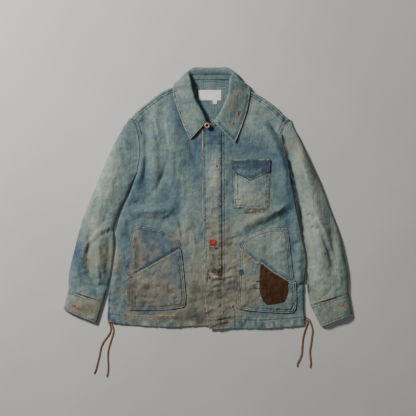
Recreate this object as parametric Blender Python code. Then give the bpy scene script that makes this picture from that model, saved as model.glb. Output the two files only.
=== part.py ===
"""Patched work jacket laid flat on its back, front up.

Sizes below are in millimetres and become metres when a mesh is made. +X runs to the viewer's
right, +Y towards the collar and +Z up from the surface that the jacket lies on. Left and right
in names are the wearer's, so the right front is on the viewer's left.
"""
import math

import bmesh
import bpy
import numpy as np
from mathutils.geometry import delaunay_2d_cdt

MM = 0.001

# Cloth and gaps
WALL = 1.6              # denim of the body and sleeves
POCKET_WALL = 1.4
PATCH_WALL = 1.0
COLLAR_WALL = 2.4       # two layers sewn together
STAND_WALL = 2.0
LABEL_WALL = 0.8
GAP = 0.3               # between pieces that are sewn together
EDGE_ROLL = 5.6         # outer radius of the rolled side and shoulder edges
BASE_TOP = 7.0          # upper face of the fronts where they lie flat
LOWEST_TOP = 2 * WALL + 0.9   # upper face of the fronts in a trough
NECK_LIFT = 3.0         # the back is raised by the collar leaf beneath it
FLY_STEP = WALL + 0.9   # the left front lies this much over the right one
FLY_UNDERLAP_X = 24.0   # edge of the right front, under the fly
CELL = 30.0             # spacing of points on a panel
HEM_DEPTH = 24.0
HEM_EXTRA = 1.0         # turned hem is this much thicker
HEM_FALL = 1.4          # the fronts lie lower towards the hem
HEM_WAVE = 0.8
BACK_MARGIN = WALL + 0.45   # back panel inside the rolled edges
SHEAR_LIMIT = 1.25      # vertical depth of a sloping wall, against its thickness

# Outline of the body, each run as seen from the front
SHOULDER_RIGHT = [(-75, 333), (-95, 322), (-121, 313), (-144, 300), (-173, 278), (-202, 255), (-222, 232)]
ARMHOLE_RIGHT = [(-222, 232), (-206, 203), (-198, 168), (-195, 139), (-199, 104), (-205, 70)]
SIDE_RIGHT = [(-205, 70), (-225, 17), (-243, -23), (-260, -70), (-266, -104), (-267, -151),
              (-275, -209), (-283, -252), (-289, -296), (-291, -358)]
HEM_RIGHT = [(-291, -358), (-225, -365.5), (-160, -370.5), (-110, -372.5), (-47, -369.5), (22, -368.5)]
HEM_LEFT = [(4, -378.6), (40, -377), (82, -376), (123, -377), (181, -375.6), (239, -371.5), (282, -366.5)]
HEM_BACK = HEM_RIGHT + HEM_LEFT[2:]
SIDE_LEFT = [(282, -366.5), (278, -302), (279, -258), (285, -203), (285, -171), (276, -128),
             (268, -87), (259, -41), (250, 12), (239, 61)]
ARMHOLE_LEFT = [(239, 61), (236, 78), (227, 125), (218, 157), (214, 186), (223, 209), (239, 226)]
SHOULDER_LEFT = [(239, 226), (216, 244), (195, 265), (163, 289), (129, 308), (112, 316), (88, 330)]
NECKLINE_RIGHT = [(-75, 333), (-72, 299), (-60, 267), (-40, 235), (-14, 208), (0, 205)]
NECKLINE_LEFT = [(88, 330), (85, 293), (73, 261), (53, 229), (24, 208), (-8, 205)]
NECKLINE_BACK = [(88, 330), (60, 338), (30, 341), (0, 342), (-40, 340), (-75, 333)]
FLY_EDGE = [(-16, 199), (-16, 93), (-14, -41), (-10, -174), (-6, -307), (4, -378.6)]

# Ways that the ends of a rolled edge slide inwards, along the edge that they meet
SHOULDER_RIGHT_ENDS = ((3, -34), (16, -29))
SHOULDER_LEFT_ENDS = ((-16, -17), (-3, -37))
SIDE_RIGHT_ENDS = (None, (66, -7))
SIDE_LEFT_ENDS = ((-43, -5), None)

# Folds: path, height (negative for a trough), half width
BODY_FOLDS = [
    ([(-147, 249), (-155, 139), (-146, 23)], 8.0, 17),
    ([(-181, 241), (-184, 139), (-178, 38), (-167, -6)], -4.0, 9),
    ([(-196, 205), (-186, 168), (-184, 130), (-193, 72), (-215, 20)], 6.0, 10),
    ([(-130, 75), (-144, 29), (-167, -3)], -5.0, 8),
    ([(-161, -55), (-132, -68), (-104, -55)], -5.0, 8),
    ([(-225, -36), (-165, -38), (-110, -34), (-98, -10)], 6.5, 11),
    ([(-228, -10), (-185, -22)], -3.5, 7),
    ([(-92, -38), (-80, -64), (-75, -95)], -5.0, 8),
    ([(-62, -25), (-55, -95)], 4.5, 13),
    ([(-57, 172), (-42, 130), (-32, 88)], -5.0, 8),
    ([(-88, 150), (-70, 90)], 3.0, 16),
    ([(-124, 284), (-147, 191)], -3.5, 13),
    ([(-97, 258), (-106, 110), (-86, -6)], 5.5, 22),
    ([(-191, 262), (-165, 223)], -3.5, 7),
    ([(-210, 240), (-190, 222)], 4.0, 10),
    ([(-275, -130), (-250, -150)], -3.0, 7),
    ([(-286, -250), (-260, -215)], -3.0, 8),
    ([(-262, -150), (-266, -215), (-276, -310)], 5.0, 12),
    ([(-240, -50), (-250, -115)], 5.0, 13),
    ([(143, 246), (172, 233), (189, 214), (202, 186)], -6.0, 8),
    ([(150, 276), (185, 256), (212, 228), (224, 212)], 5.5, 9),
    ([(138, 222), (165, 206), (192, 165), (212, 112), (226, 60), (240, 0)], 10.0, 14),
    ([(252, -40), (258, -100), (266, -150), (268, -280)], 6.0, 13),
    ([(246, -36), (200, -66), (157, -87), (104, -108)], -6.5, 8),
    ([(240, -12), (200, -38), (157, -55), (96, -84)], 7.0, 12),
    ([(270, -126), (246, -138)], -4.0, 7),
    ([(280, -246), (258, -262)], -4.0, 7),
    ([(44, 150), (48, 20)], 2.5, 16),
]
SLEEVE_RIGHT_FOLDS = [
    ([(-228, 196), (-235, 165), (-232, 135)], 6.0, 11),
    ([(-252, 150), (-240, 131), (-226, 116)], -4.0, 7),
    ([(-226, 116), (-203, 97)], -6.0, 8),
    ([(-207, 196), (-201, 160), (-204, 120)], -4.0, 8),
    ([(-262, 120), (-290, 40), (-318, -50)], 4.0, 26),
    ([(-336, -80), (-348, -178), (-341, -216), (-308, -293)], -6.5, 8),
    ([(-312, -90), (-314, -180), (-304, -240)], 6.0, 13),
    ([(-286, -112), (-284, -180), (-292, -236)], -5.5, 8),
    ([(-372, -150), (-380, -240)], 4.0, 14),
    ([(-316, -250), (-290, -262)], -5.0, 7),
    ([(-290, -92), (-270, -100)], -4.5, 7),
]
SLEEVE_LEFT_FOLDS = [
    ([(254, 172), (287, 79), (308, -23), (328, -138), (333, -241)], 9.0, 22),
    ([(228, 140), (247, 60), (268, -30), (286, -120), (300, -210), (298, -280)], -9.0, 12),
    ([(340, -4), (359, -87), (364, -190), (356, -232)], -5.5, 9),
    ([(287, -45), (312, -62)], -4.0, 8),
    ([(296, -84), (322, -94)], -4.0, 8),
    ([(376, -100), (388, -190), (390, -260)], 4.0, 12),
    ([(250, 205), (238, 190)], -3.0, 8),
]

# Sleeves: outer and inner edge from armhole to cuff seam
SLEEVE_RIGHT_OUTER = [(-223, 233), (-234, 220), (-249, 197), (-280, 139), (-309, 70), (-338, 0),
                      (-365, -70), (-383, -139), (-399, -203), (-403, -238), (-403, -265)]
SLEEVE_RIGHT_INNER = [(-206, 69), (-228, 17), (-247, -23), (-264, -64), (-272, -93), (-270, -122),
                      (-271, -151), (-279, -209), (-287, -250), (-294, -275), (-301, -300)]
SLEEVE_LEFT_OUTER = [(240, 227), (252, 197), (265, 174), (297, 104), (329, 35), (355, -35),
                     (381, -104), (398, -174), (406, -220), (407, -273)]
SLEEVE_LEFT_INNER = [(240, 60), (254, 12), (263, -41), (272, -87), (280, -128), (289, -171),
                     (289, -203), (287, -240), (290, -278), (296, -308)]
CUFF_RIGHT = [(-403.1, -265.33), (-301.1, -300.33), (-321, -362), (-418, -321)]   # top outer, top inner, bottom
CUFF_LEFT = [(407.1, -273.33), (296.1, -308.33), (327, -372), (418, -336)]
SLEEVE_LOFT = 15.0
CUFF_LOFT = 12.5
CUFF_WALL = WALL + 0.6
CUFF_FLARE = 1.5          # the mouth stands this much higher than the seam
CUFF_WAVE = 0.9
ARMHOLE_BLEND = 5.0       # sleeve stations over which it takes the armhole's curve and height
SLEEVE_STATIONS = 25
SLEEVE_SIDE_Z = 4.0
SLEEVE_SEAM = 0.7         # sleeve to armhole, where both are curved

# Pockets and patches, drawn on the fronts
POCKET_RIGHT = [(-208, -82), (-172, -86), (-128, -95), (-92, -112), (-81, -131), (-78, -150),
                (-72, -197), (-64, -281), (-66, -310), (-75, -316), (-117, -322), (-186, -324),
                (-226, -324), (-236, -312), (-234, -267), (-231, -236), (-237, -191), (-227, -160)]
POCKET_RIGHT_MOUTH = [(-232, -229), (-222, -227), (-150, -187), (-85, -150), (-78, -150)]
POCKET_LEFT = [(229, -87), (185, -88), (143, -99), (108, -119), (96, -140), (93, -155), (92, -199),
               (89, -244), (86, -303), (91, -321), (155, -329), (238, -332), (252, -325),
               (256, -310), (256, -273), (254, -244), (247, -230), (241, -173), (234, -113)]
POCKET_LEFT_MOUTH = [(254, -244), (232, -238), (191, -214), (155, -185), (140, -184), (100, -149),
                     (93, -145)]
BROWN_PATCH = [(155, -191), (188, -216), (229, -241), (232, -250), (229, -282), (220, -300),
               (173, -309), (161, -297), (152, -273), (150, -244), (152, -205)]
CHEST_POCKET = [(69, 109), (180, 110), (180, 60), (176, -31), (125, -32), (73, -29)]
CHEST_FLAP = [(68, 110), (181, 111), (179, 77), (125, 53), (71, 78)]
POUCH_BULGE = 2.6
BACKING_SWELL = 0.36
CHEST_BULGE = 1.4
FLAP_LIFT = 1.5          # flap over the chest pocket
STRIP_TOP = [(-12, 190), (39, 190)]
STRIP_INNER = [(39, 190), (40, -372)]
STRIP_OUTER = [(-12, 190), (-12, 93), (-10, -41), (-6, -174), (-2, -307), (6, -372)]

# Collar stations from the right front end round the neck to the left front end:
# neckline point, fold line point, leaf edge point, height of the fold
FRONT_STATIONS_RIGHT = [
    ((-15, 209), (-4, 220), (-50, 170), 15),
    ((-27, 222), (-9, 235), (-65, 199), 18),
    ((-47, 247), (-21, 258), (-77, 231), 21),
    ((-62, 274), (-36, 284), (-88, 261), 23),
    ((-70, 293), (-41, 302), (-95, 284), 24),
    ((-73, 313), (-46, 321), (-100, 308), 24),
]
FRONT_STATIONS_LEFT = [
    ((88, 313), (62, 319), (121, 302), 24),
    ((85, 296), (60, 303), (119, 288), 24),
    ((78, 272), (53, 282), (115, 262), 23),
    ((62, 243), (41, 255), (106, 232), 21),
    ((43, 221), (29, 235), (95, 200), 18),
    ((25, 210), (17, 222), (79, 160), 15),
]
# Leaf sections that wrap over the shoulder and under the back, each point as x, y, z
WRAP_RIGHT = [
    [(-50, 335, 17), (-49, 338, 21), (-54, 339, 23.5), (-72, 337, 20), (-88, 332, 15.5),
     (-96, 328.5, 12.5), (-99, 325.5, 10)],
    [(-50, 341, 15), (-51, 344, 19), (-56, 345, 21), (-74, 342, 17), (-90, 336, 11.5),
     (-97, 331, 5.5), (-95, 326.5, 1.4)],
    [(-50, 347, 13), (-53, 351, 17), (-58, 352, 18.5), (-73, 346, 14.5), (-87, 337, 7),
     (-86, 331.5, 1.7), (-87, 313, 1.3)],
    [(-48, 355, 10), (-52, 361, 13), (-57, 363, 14), (-66, 359, 11.5), (-73, 351, 6),
     (-70, 345, 1.5), (-73, 313, 1.3)],
]
WRAP_LEFT = [
    [(71, 355, 10), (71, 361, 13), (75, 362, 14), (82, 358, 11.5), (89, 349, 6),
     (86, 343, 1.5), (89, 312, 1.3)],
    [(67, 344, 13), (66, 348, 17), (72, 349, 18.5), (88, 344, 14.5), (102, 334, 7),
     (100, 329, 1.7), (103, 312, 1.3)],
    [(66, 337, 15), (64, 341, 19), (70, 342, 21), (90, 339, 17), (107, 332, 11.5),
     (114, 326, 5.5), (112, 321.5, 1.4)],
    [(65, 330, 17), (63, 334, 21), (69, 335, 23.5), (88, 333, 20), (105, 327, 15.5),
     (114, 322.5, 12.5), (119, 318, 10)],
]
LEAF_CLEAR = 1.0          # leaf over the fronts, which are coarser between their points
BACK_SECTION_X = [-40, -18, 6, 32, 58]
BACK_SECTION = [(357.5, 7.2), (363, 9.4), (369.5, 9.8), (376.4, 6.4), (372, 2.0), (351, 1.3), (318, 1.3)]
STAND_WRAP_RIGHT = [[(-71, 328, 9.5), (-56, 334, 15.6)], [(-68, 334, 8.6), (-55, 340, 13.8)],
                    [(-63, 338.5, 7.2), (-53, 346, 11.8)], [(-54, 342, 6.0), (-49, 353.5, 9.0)]]
STAND_WRAP_LEFT = [[(74, 341, 6.0), (72, 353.5, 9.0)], [(79, 337.5, 7.2), (71, 343, 11.8)],
                   [(83, 333, 8.6), (71, 336, 13.8)], [(86, 328, 9.5), (71, 329, 15.6)]]
STAND_BACK = [(343.2, 4.8), (356.4, 6.7)]
STAND_TAB = [(-6, 204, 15.5), (-6, 216, 15.5)]      # end of the left stand, under the button

BUTTON_CENTRE = (-1.5, 208.5)
BUTTON_DIAMETER = 17.4
BUTTON_SEAT_Z = 16.5
LABEL_BOX = (-26, 39, 283, 312)
TAB_BOX = (15, 27, 272, 282.6)

# Leather laces: thickness and route of each free end, as x, y
LACE_DIAMETER = 3.6
LACES = {
    "lace_right_outer": [(-287, -359.6), (-281.5, -375), (-283, -388), (-291, -401), (-302, -416),
                         (-309.5, -433), (-313.5, -455), (-319, -478), (-323.5, -496), (-329, -509)],
    "lace_right_inner": [(-280.5, -360.3), (-275, -374), (-273.5, -387), (-278, -405), (-284, -425),
                         (-288.5, -444), (-289.5, -465), (-288.5, -487), (-289.5, -505), (-293, -518)],
    "lace_left_inner": [(282.8, -351), (290, -357), (288.5, -367), (282, -384), (277, -403),
                        (274, -425), (272.5, -446), (271, -455), (266, -468), (260, -479), (259, -489)],
    "lace_left_outer": [(282.2, -343.5), (294, -353), (299.5, -366), (303.5, -384), (301, -405),
                        (298, -427), (295.5, -444), (297, -463), (298.5, -479), (297, -492)],
}

DENIM = (0.20, 0.26, 0.34)
DENIM_PALE = (0.27, 0.33, 0.40)
INDIGO = (0.07, 0.10, 0.17)
DIRTY = (0.25, 0.24, 0.21)
BROWN = (0.07, 0.04, 0.02)
COPPER = (0.45, 0.27, 0.13)
LABEL_CLOTH = (0.75, 0.74, 0.70)
LEATHER = (0.23, 0.13, 0.07)


def material(name, colour, roughness=0.95, metallic=0.0):
    mat = bpy.data.materials.new(name)
    mat.use_nodes = True
    shader = mat.node_tree.nodes["Principled BSDF"]
    shader.inputs["Base Color"].default_value = (*colour, 1.0)
    shader.inputs["Roughness"].default_value = roughness
    shader.inputs["Metallic"].default_value = metallic
    return mat


def add_mesh(name, points, faces, colour, **finish):
    """Make one object from points in millimetres."""
    mesh = bpy.data.meshes.new(name)
    mesh.from_pydata([tuple(float(c) * MM for c in p) for p in points], [], faces)
    solid = bmesh.new()
    solid.from_mesh(mesh)
    bmesh.ops.recalc_face_normals(solid, faces=solid.faces)
    solid.to_mesh(mesh)
    solid.free()
    mesh.materials.append(material(name, colour, **finish))
    mesh.shade_smooth()
    mesh.set_sharp_from_angle(angle=math.radians(50))
    obj = bpy.data.objects.new(name, mesh)
    bpy.context.scene.collection.objects.link(obj)
    return obj


def spline(points, count):
    """Smooth curve through points (Catmull-Rom), with count points at even distances."""
    p = np.array(points, float)
    p = np.vstack([2 * p[0] - p[1], p, 2 * p[-1] - p[-2]])
    t = np.linspace(0, 1, 12, endpoint=False)[:, None]
    runs = []
    for a, b, c, d in zip(p[:-3], p[1:-2], p[2:-1], p[3:]):
        runs.append(0.5 * (2 * b + (c - a) * t + (2 * a - 5 * b + 4 * c - d) * t ** 2
                           + (3 * b - a - 3 * c + d) * t ** 3))
    dense = np.vstack(runs + [p[-2:-1]])
    length = np.concatenate([[0], np.cumsum(np.linalg.norm(np.diff(dense, axis=0), axis=1))])
    even = np.linspace(0, length[-1], count)
    return np.column_stack([np.interp(even, length, dense[:, k]) for k in range(p.shape[1])])


def sampled(points, step=20.0):
    """Smooth run with a point about every step millimetres."""
    length = np.linalg.norm(np.diff(np.array(points, float), axis=0), axis=1).sum()
    return spline(points, max(2, int(round(length / step)) + 1))


def nearest_on(path, x, y):
    """Distance of points from a polyline, and the share of its length at the nearest point."""
    path = np.array(path, float)
    spans = np.hypot(*np.diff(path, axis=0).T)
    best, share, done = np.full(np.shape(x), 1e9), np.zeros(np.shape(x)), 0.0
    for (ax, ay), (bx, by), span in zip(path[:-1], path[1:], spans):
        t = np.clip(((x - ax) * (bx - ax) + (y - ay) * (by - ay)) / span ** 2, 0, 1)
        away = np.hypot(x - ax - t * (bx - ax), y - ay - t * (by - ay))
        share = np.where(away < best, (done + t * span) / spans.sum(), share)
        best = np.minimum(best, away)
        done += span
    return best, share


def distance_to(path, x, y):
    return nearest_on(path, x, y)[0]


def smooth_step(low, high, value):
    t = np.clip((value - low) / (high - low), 0, 1)
    return t * t * (3 - 2 * t)


def inside(polygon, x, y):
    """Whether points lie in a closed polygon."""
    hit = np.zeros(np.shape(x), bool)
    ring = np.array(polygon, float)
    for (ax, ay), (bx, by) in zip(ring, np.roll(ring, -1, axis=0)):
        crosses = (ay > y) != (by > y)
        rise = by - ay if by != ay else 1e-9
        hit ^= crosses & (x < (bx - ax) * (y - ay) / rise + ax)
    return hit


def fold_height(folds, x, y):
    """Sum of the folds, each dying away at both its ends."""
    total = np.zeros(np.shape(x))
    for path, height, half_width in folds:
        away, share = nearest_on(path, x, y)
        ends = smooth_step(0, 0.25, share) * smooth_step(0, 0.25, 1 - share)
        total = total + height * (0.2 + 0.8 * ends) * np.exp(-(away / half_width) ** 2)
    return total


def neck_lift(x, y):
    """How far the back is raised where the collar leaf lies beneath it."""
    reach = np.hypot((x - 8) / 160.0, (y - 372) / 125.0)
    return NECK_LIFT * (1 - smooth_step(0.86, 1.12, reach))


def front_top(x, y):
    """Upper face of the right front, and of the left one away from the fly."""
    hem = distance_to(HEM_RIGHT[:-1] + HEM_LEFT[1:], x, y)
    level = BASE_TOP - HEM_FALL * (1 - smooth_step(4, 60, hem))
    folds = fold_height(BODY_FOLDS, x, y) * smooth_step(-4, 50, hem)
    turned = HEM_EXTRA * (1 - smooth_step(HEM_DEPTH, HEM_DEPTH + 3, hem))
    waves = HEM_WAVE * np.sin(x / 23.0 + 0.6 * np.sin(y / 60.0)) * (1 - smooth_step(20, 90, hem))
    height = level + folds + turned + waves
    floor_height = LOWEST_TOP
    height = floor_height + np.logaddexp(0, (height - floor_height) * 1.6) / 1.6
    return height + neck_lift(x, y)


def left_front_top(x, y):
    over_fly = 1 - smooth_step(FLY_UNDERLAP_X + 2, FLY_UNDERLAP_X + 34, x)
    return front_top(x, y) + FLY_STEP * over_fly


def triangulate(outline, lines, seeds):
    """Constrained triangles of an outline, with inner lines kept as edges."""
    points = [tuple(p) for p in outline]
    edges = [(k, (k + 1) % len(points)) for k in range(len(points))]
    keep = seeds[inside(outline, seeds[:, 0], seeds[:, 1])]
    ring = np.vstack([outline, outline[:1]])
    keep = keep[distance_to(ring, keep[:, 0], keep[:, 1]) > 8.0]
    for line, closed in lines:
        start = len(points)
        points += [tuple(p) for p in line]
        edges += [(start + k, start + k + 1) for k in range(len(line) - 1)]
        if closed:
            edges.append((start + len(line) - 1, start))
            line = np.vstack([line, line[:1]])
        keep = keep[distance_to(line, keep[:, 0], keep[:, 1]) > 5.0]
    points += [tuple(p) for p in keep]
    verts, _, tris, _, _, _ = delaunay_2d_cdt(points, edges, [], 0, 1e-4, False)
    plan = np.array([tuple(v) for v in verts])
    tris = np.array([t for t in tris])
    centre = plan[tris].mean(axis=1)
    tris = tris[inside(outline, centre[:, 0], centre[:, 1])]
    a, b, c = (plan[tris[:, k]] for k in range(3))
    area = (b[:, 0] - a[:, 0]) * (c[:, 1] - a[:, 1]) - (b[:, 1] - a[:, 1]) * (c[:, 0] - a[:, 0])
    tris[area < 0] = tris[area < 0][:, ::-1]
    return plan, tris[abs(area) > 1e-3]


def fold_seeds(folds):
    """Points along each fold's crest and both its flanks."""
    seeds = []
    for path, _, half_width in folds:
        line = sampled(path, 20.0)
        along = np.gradient(line, axis=0)
        along /= np.linalg.norm(along, axis=1)[:, None]
        side = np.column_stack([-along[:, 1], along[:, 0]])
        for offset in (-1.25, 0.0, 1.25):
            seeds.append(line + side * offset * half_width)
    return np.vstack(seeds)


def panel_seeds(outline, folds):
    """Fold points first, then a staggered grid that keeps clear of them."""
    low, high = outline.min(axis=0), outline.max(axis=0)
    rows = np.arange(low[1], high[1], CELL * 0.87)
    grid = [(x, y) for k, y in enumerate(rows)
            for x in np.arange(low[0] + (k % 2) * CELL / 2, high[0], CELL)]
    chosen = []
    for points, spacing in ((fold_seeds(folds), 9.0), (grid, CELL * 0.55)):
        for x, y in points:
            if all(math.hypot(x - a, y - b) > spacing for a, b in chosen):
                chosen.append((x, y))
    return np.array(chosen)


def inset_run(run, depth, start_way, end_way):
    """Run moved to its left by depth; its ends slide along the edges that they meet."""
    along = np.gradient(run, axis=0)
    along /= np.linalg.norm(along, axis=1)[:, None]
    moved = run + np.column_stack([-along[:, 1], along[:, 0]]) * depth
    for end, way in ((0, start_way), (-1, end_way)):
        if way is None:
            continue
        way = np.array(way, float)
        moved[end] = run[end] + way / np.linalg.norm(way) * depth
    return moved


class Slab:
    """Closed cloth wall on a set of plan triangles, with optional rolled edges."""

    def __init__(self, plan, tris, top, bottom):
        self.plan, self.tris, self.top, self.bottom = plan, tris, top, bottom

    def build(self, name, colour, rolled=None, under=None, **finish):
        rolled = rolled or {}
        used = np.unique(self.tris)
        points, index = [], {}
        for k in used:
            index[k] = (len(points), len(points) + 1)
            points.append((*self.plan[k], self.top[k]))
            points.append((*self.plan[k], self.bottom[k]))
        faces = [tuple(index[k][0] for k in t) for t in self.tris]
        faces += [tuple(index[k][1] for k in t[::-1]) for t in self.tris]
        chains = {}
        for k, outer in rolled.items():
            chains[k] = self.roll(points, index[k], k, outer, under)
        count = {}
        for t in self.tris:
            for a, b in ((t[0], t[1]), (t[1], t[2]), (t[2], t[0])):
                count[(a, b)] = count.get((a, b), 0) + 1
        rim = {a: b for a, b in count if (b, a) not in count}
        for a, b in rim.items():
            first, second = chains.get(a), chains.get(b)
            if first and second:
                for j in range(len(first) - 1):
                    faces.append((first[j + 1], second[j + 1], second[j], first[j]))
                continue
            faces.append((index[a][1], index[b][1], index[b][0], index[a][0]))
            if first:
                faces.append(tuple(first))
            if second:
                faces.append(tuple(reversed(second)))
        return add_mesh(name, points, faces, colour, **finish)

    def roll(self, points, pair, k, outer, under):
        """Section of a rolled edge at one point, from its top over the edge to its inside."""
        inner = self.plan[k]
        outer = np.array(outer)
        top, low = self.top[k], under(outer[0], outer[1])
        way = inner - outer
        drop = min(EDGE_ROLL, 0.72 * (top - low))
        wall = WALL / EDGE_ROLL
        section = [(0.30, top - 0.27 * drop), (0.0, top - 0.9 * drop), (0.0, low), (wall, low),
                   (wall, top - max(0.9 * drop, WALL + 0.4)),
                   (wall + 0.30 * (1 - wall), top - WALL - 0.22 * (drop - WALL))]
        chain = [pair[0]]
        for share, z in section:
            chain.append(len(points))
            points.append((*(outer + way * share), z))
        chain.append(pair[1])
        return chain


def nearest(plan, targets):
    """Index of the plan point at each target."""
    return [int(np.argmin(np.hypot(plan[:, 0] - x, plan[:, 1] - y))) for x, y in targets]


def wall_depth(height, x, y, thickness):
    """Vertical depth of a wall whose thickness is measured square to its slope."""
    h = 1.5
    slope_x = (height(x + h, y) - height(x - h, y)) / (2 * h)
    slope_y = (height(x, y + h) - height(x, y - h)) / (2 * h)
    return thickness * np.minimum(np.sqrt(1 + slope_x ** 2 + slope_y ** 2), SHEAR_LIMIT)


def subset(plan, tris, polygon):
    centre = plan[tris].mean(axis=1)
    return tris[inside(polygon, centre[:, 0], centre[:, 1])]


def open_line(points, step=24.0):
    """Straight runs between points, with the long ones divided."""
    line = []
    for a, b in zip(points[:-1], points[1:]):
        a, b = np.array(a, float), np.array(b, float)
        parts = max(1, int(round(np.linalg.norm(b - a) / step)))
        line += [a + (b - a) * k / parts for k in range(parts)]
    return np.array(line + [np.array(points[-1], float)])


def closed_line(points, step=17.0, corner=42.0):
    """Closed outline: smooth curves between the corners that turn more than corner degrees."""
    ring = np.array(points, float)
    ahead, behind = np.roll(ring, -1, axis=0) - ring, ring - np.roll(ring, 1, axis=0)
    turn = np.degrees(np.arctan2(behind[:, 0] * ahead[:, 1] - behind[:, 1] * ahead[:, 0],
                                 (behind * ahead).sum(axis=1)))
    corners = [k for k in range(len(ring)) if abs(turn[k]) > corner] or [0]
    runs = []
    for a, b in zip(corners, corners[1:] + [corners[0] + len(ring)]):
        run = [ring[k % len(ring)] for k in range(a, b + 1)]
        runs.append(sampled(run, step)[:-1])
    return np.vstack(runs)


def split_by(ring, mouth):
    """Part of a pocket outline below its mouth line."""
    ring_points = [tuple(p) for p in ring]
    start = min(range(len(ring)), key=lambda k: math.dist(ring_points[k], mouth[-1]))
    end = min(range(len(ring)), key=lambda k: math.dist(ring_points[k], mouth[0]))
    lower = []
    k = start
    while True:
        lower.append(ring_points[k])
        if k == end:
            break
        k = (k + 1) % len(ring_points)
    return lower + [tuple(p) for p in mouth[1:-1]]


def bulge(polygon, x, y, amount, reach=45.0):
    ring = np.vstack([polygon, polygon[:1]])
    return amount * smooth_step(0, reach, distance_to(ring, x, y))


def pocket_parts(plan, tris, base, outline, mouth, names, colours):
    """Backing and pouch of a lower pocket, each made from the panel's own points."""
    ring = closed_line(outline)
    lower = split_by(ring, mouth)
    backing_tris = subset(plan, tris, ring)
    pouch_tris = subset(plan, tris, lower)
    x, y = plan[:, 0], plan[:, 1]
    backing_bottom = base + GAP
    backing_top = backing_bottom + POCKET_WALL + bulge(ring, x, y, BACKING_SWELL)
    Slab(plan, backing_tris, backing_top, backing_bottom).build(names[0], colours[0])
    pouch_bottom = backing_top + GAP + bulge(np.array(lower), x, y, POUCH_BULGE)
    pouch_top = pouch_bottom + POCKET_WALL
    Slab(plan, pouch_tris, pouch_top, pouch_bottom).build(names[1], colours[1])
    return pouch_top


def make_back():
    """Back panel: flat where it rests, raised at the neck by the leaf beneath it."""
    shoulder_r = inset_run(sampled(SHOULDER_RIGHT), BACK_MARGIN, *SHOULDER_RIGHT_ENDS)
    shoulder_l = inset_run(sampled(SHOULDER_LEFT), BACK_MARGIN, *SHOULDER_LEFT_ENDS)
    side_r = inset_run(sampled(SIDE_RIGHT), BACK_MARGIN, *SIDE_RIGHT_ENDS)
    side_l = inset_run(sampled(SIDE_LEFT), BACK_MARGIN, *SIDE_LEFT_ENDS)
    hem = sampled(HEM_BACK, 30) + [0, 1.0]
    runs = [shoulder_r, sampled(ARMHOLE_RIGHT, 18)[1:-1], side_r, hem[1:-1], side_l,
            sampled(ARMHOLE_LEFT, 18)[1:-1], shoulder_l, sampled(NECKLINE_BACK, 18)[1:-1]]
    outline = np.vstack(runs)
    ramp = [(x, y) for y in np.arange(236, 330, 18) for x in np.arange(-150, 170, 32)]
    spread = [(x, y) for y in np.arange(-320, 220, 90) for x in np.arange(-210, 230, 70)]
    plan, tris = triangulate(outline, [], np.array(ramp + spread, float))
    low = neck_lift(plan[:, 0], plan[:, 1])
    Slab(plan, tris, low + WALL, low).build("back", DENIM)


def make_front_right():
    shoulder, side = sampled(SHOULDER_RIGHT), sampled(SIDE_RIGHT)
    shoulder_in = inset_run(shoulder, EDGE_ROLL, *SHOULDER_RIGHT_ENDS)
    side_in = inset_run(side, EDGE_ROLL, *SIDE_RIGHT_ENDS)
    hem = sampled(HEM_RIGHT, 22)
    centre = open_line([(FLY_UNDERLAP_X - 2, HEM_RIGHT[-1][1]), (FLY_UNDERLAP_X, 205)], 40)
    neck = sampled(NECKLINE_RIGHT[:-1] + [(FLY_UNDERLAP_X, 205)], 18)[::-1]
    outline = np.vstack([shoulder_in, sampled(ARMHOLE_RIGHT, 18)[1:-1], side_in, hem[1:-1],
                         centre[:-1], neck[:-1]])
    ring = closed_line(POCKET_RIGHT)
    mouth = open_line(POCKET_RIGHT_MOUTH)
    mouth[0] = ring[np.argmin(np.hypot(*(ring - mouth[0]).T))]
    mouth[-1] = ring[np.argmin(np.hypot(*(ring - mouth[-1]).T))]
    hem_line = sampled([(x, y + HEM_DEPTH + 2) for x, y in HEM_RIGHT[:-1]], 26)[1:]
    seeds = panel_seeds(outline, BODY_FOLDS)
    plan, tris = triangulate(outline, [(ring, True), (mouth, False), (hem_line, False)], seeds)
    x, y = plan[:, 0], plan[:, 1]
    top = front_top(x, y)
    bottom = top - wall_depth(front_top, x, y, WALL)
    rolled = dict(zip(nearest(plan, shoulder_in), shoulder))
    rolled.update(zip(nearest(plan, side_in), side))
    Slab(plan, tris, top, bottom).build("front_right", DENIM_PALE, rolled=rolled, under=neck_lift)
    pocket_parts(plan, tris, top, POCKET_RIGHT, mouth,
                 ("pocket_right_backing", "pocket_right_pouch"), (DENIM, DIRTY))


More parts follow.
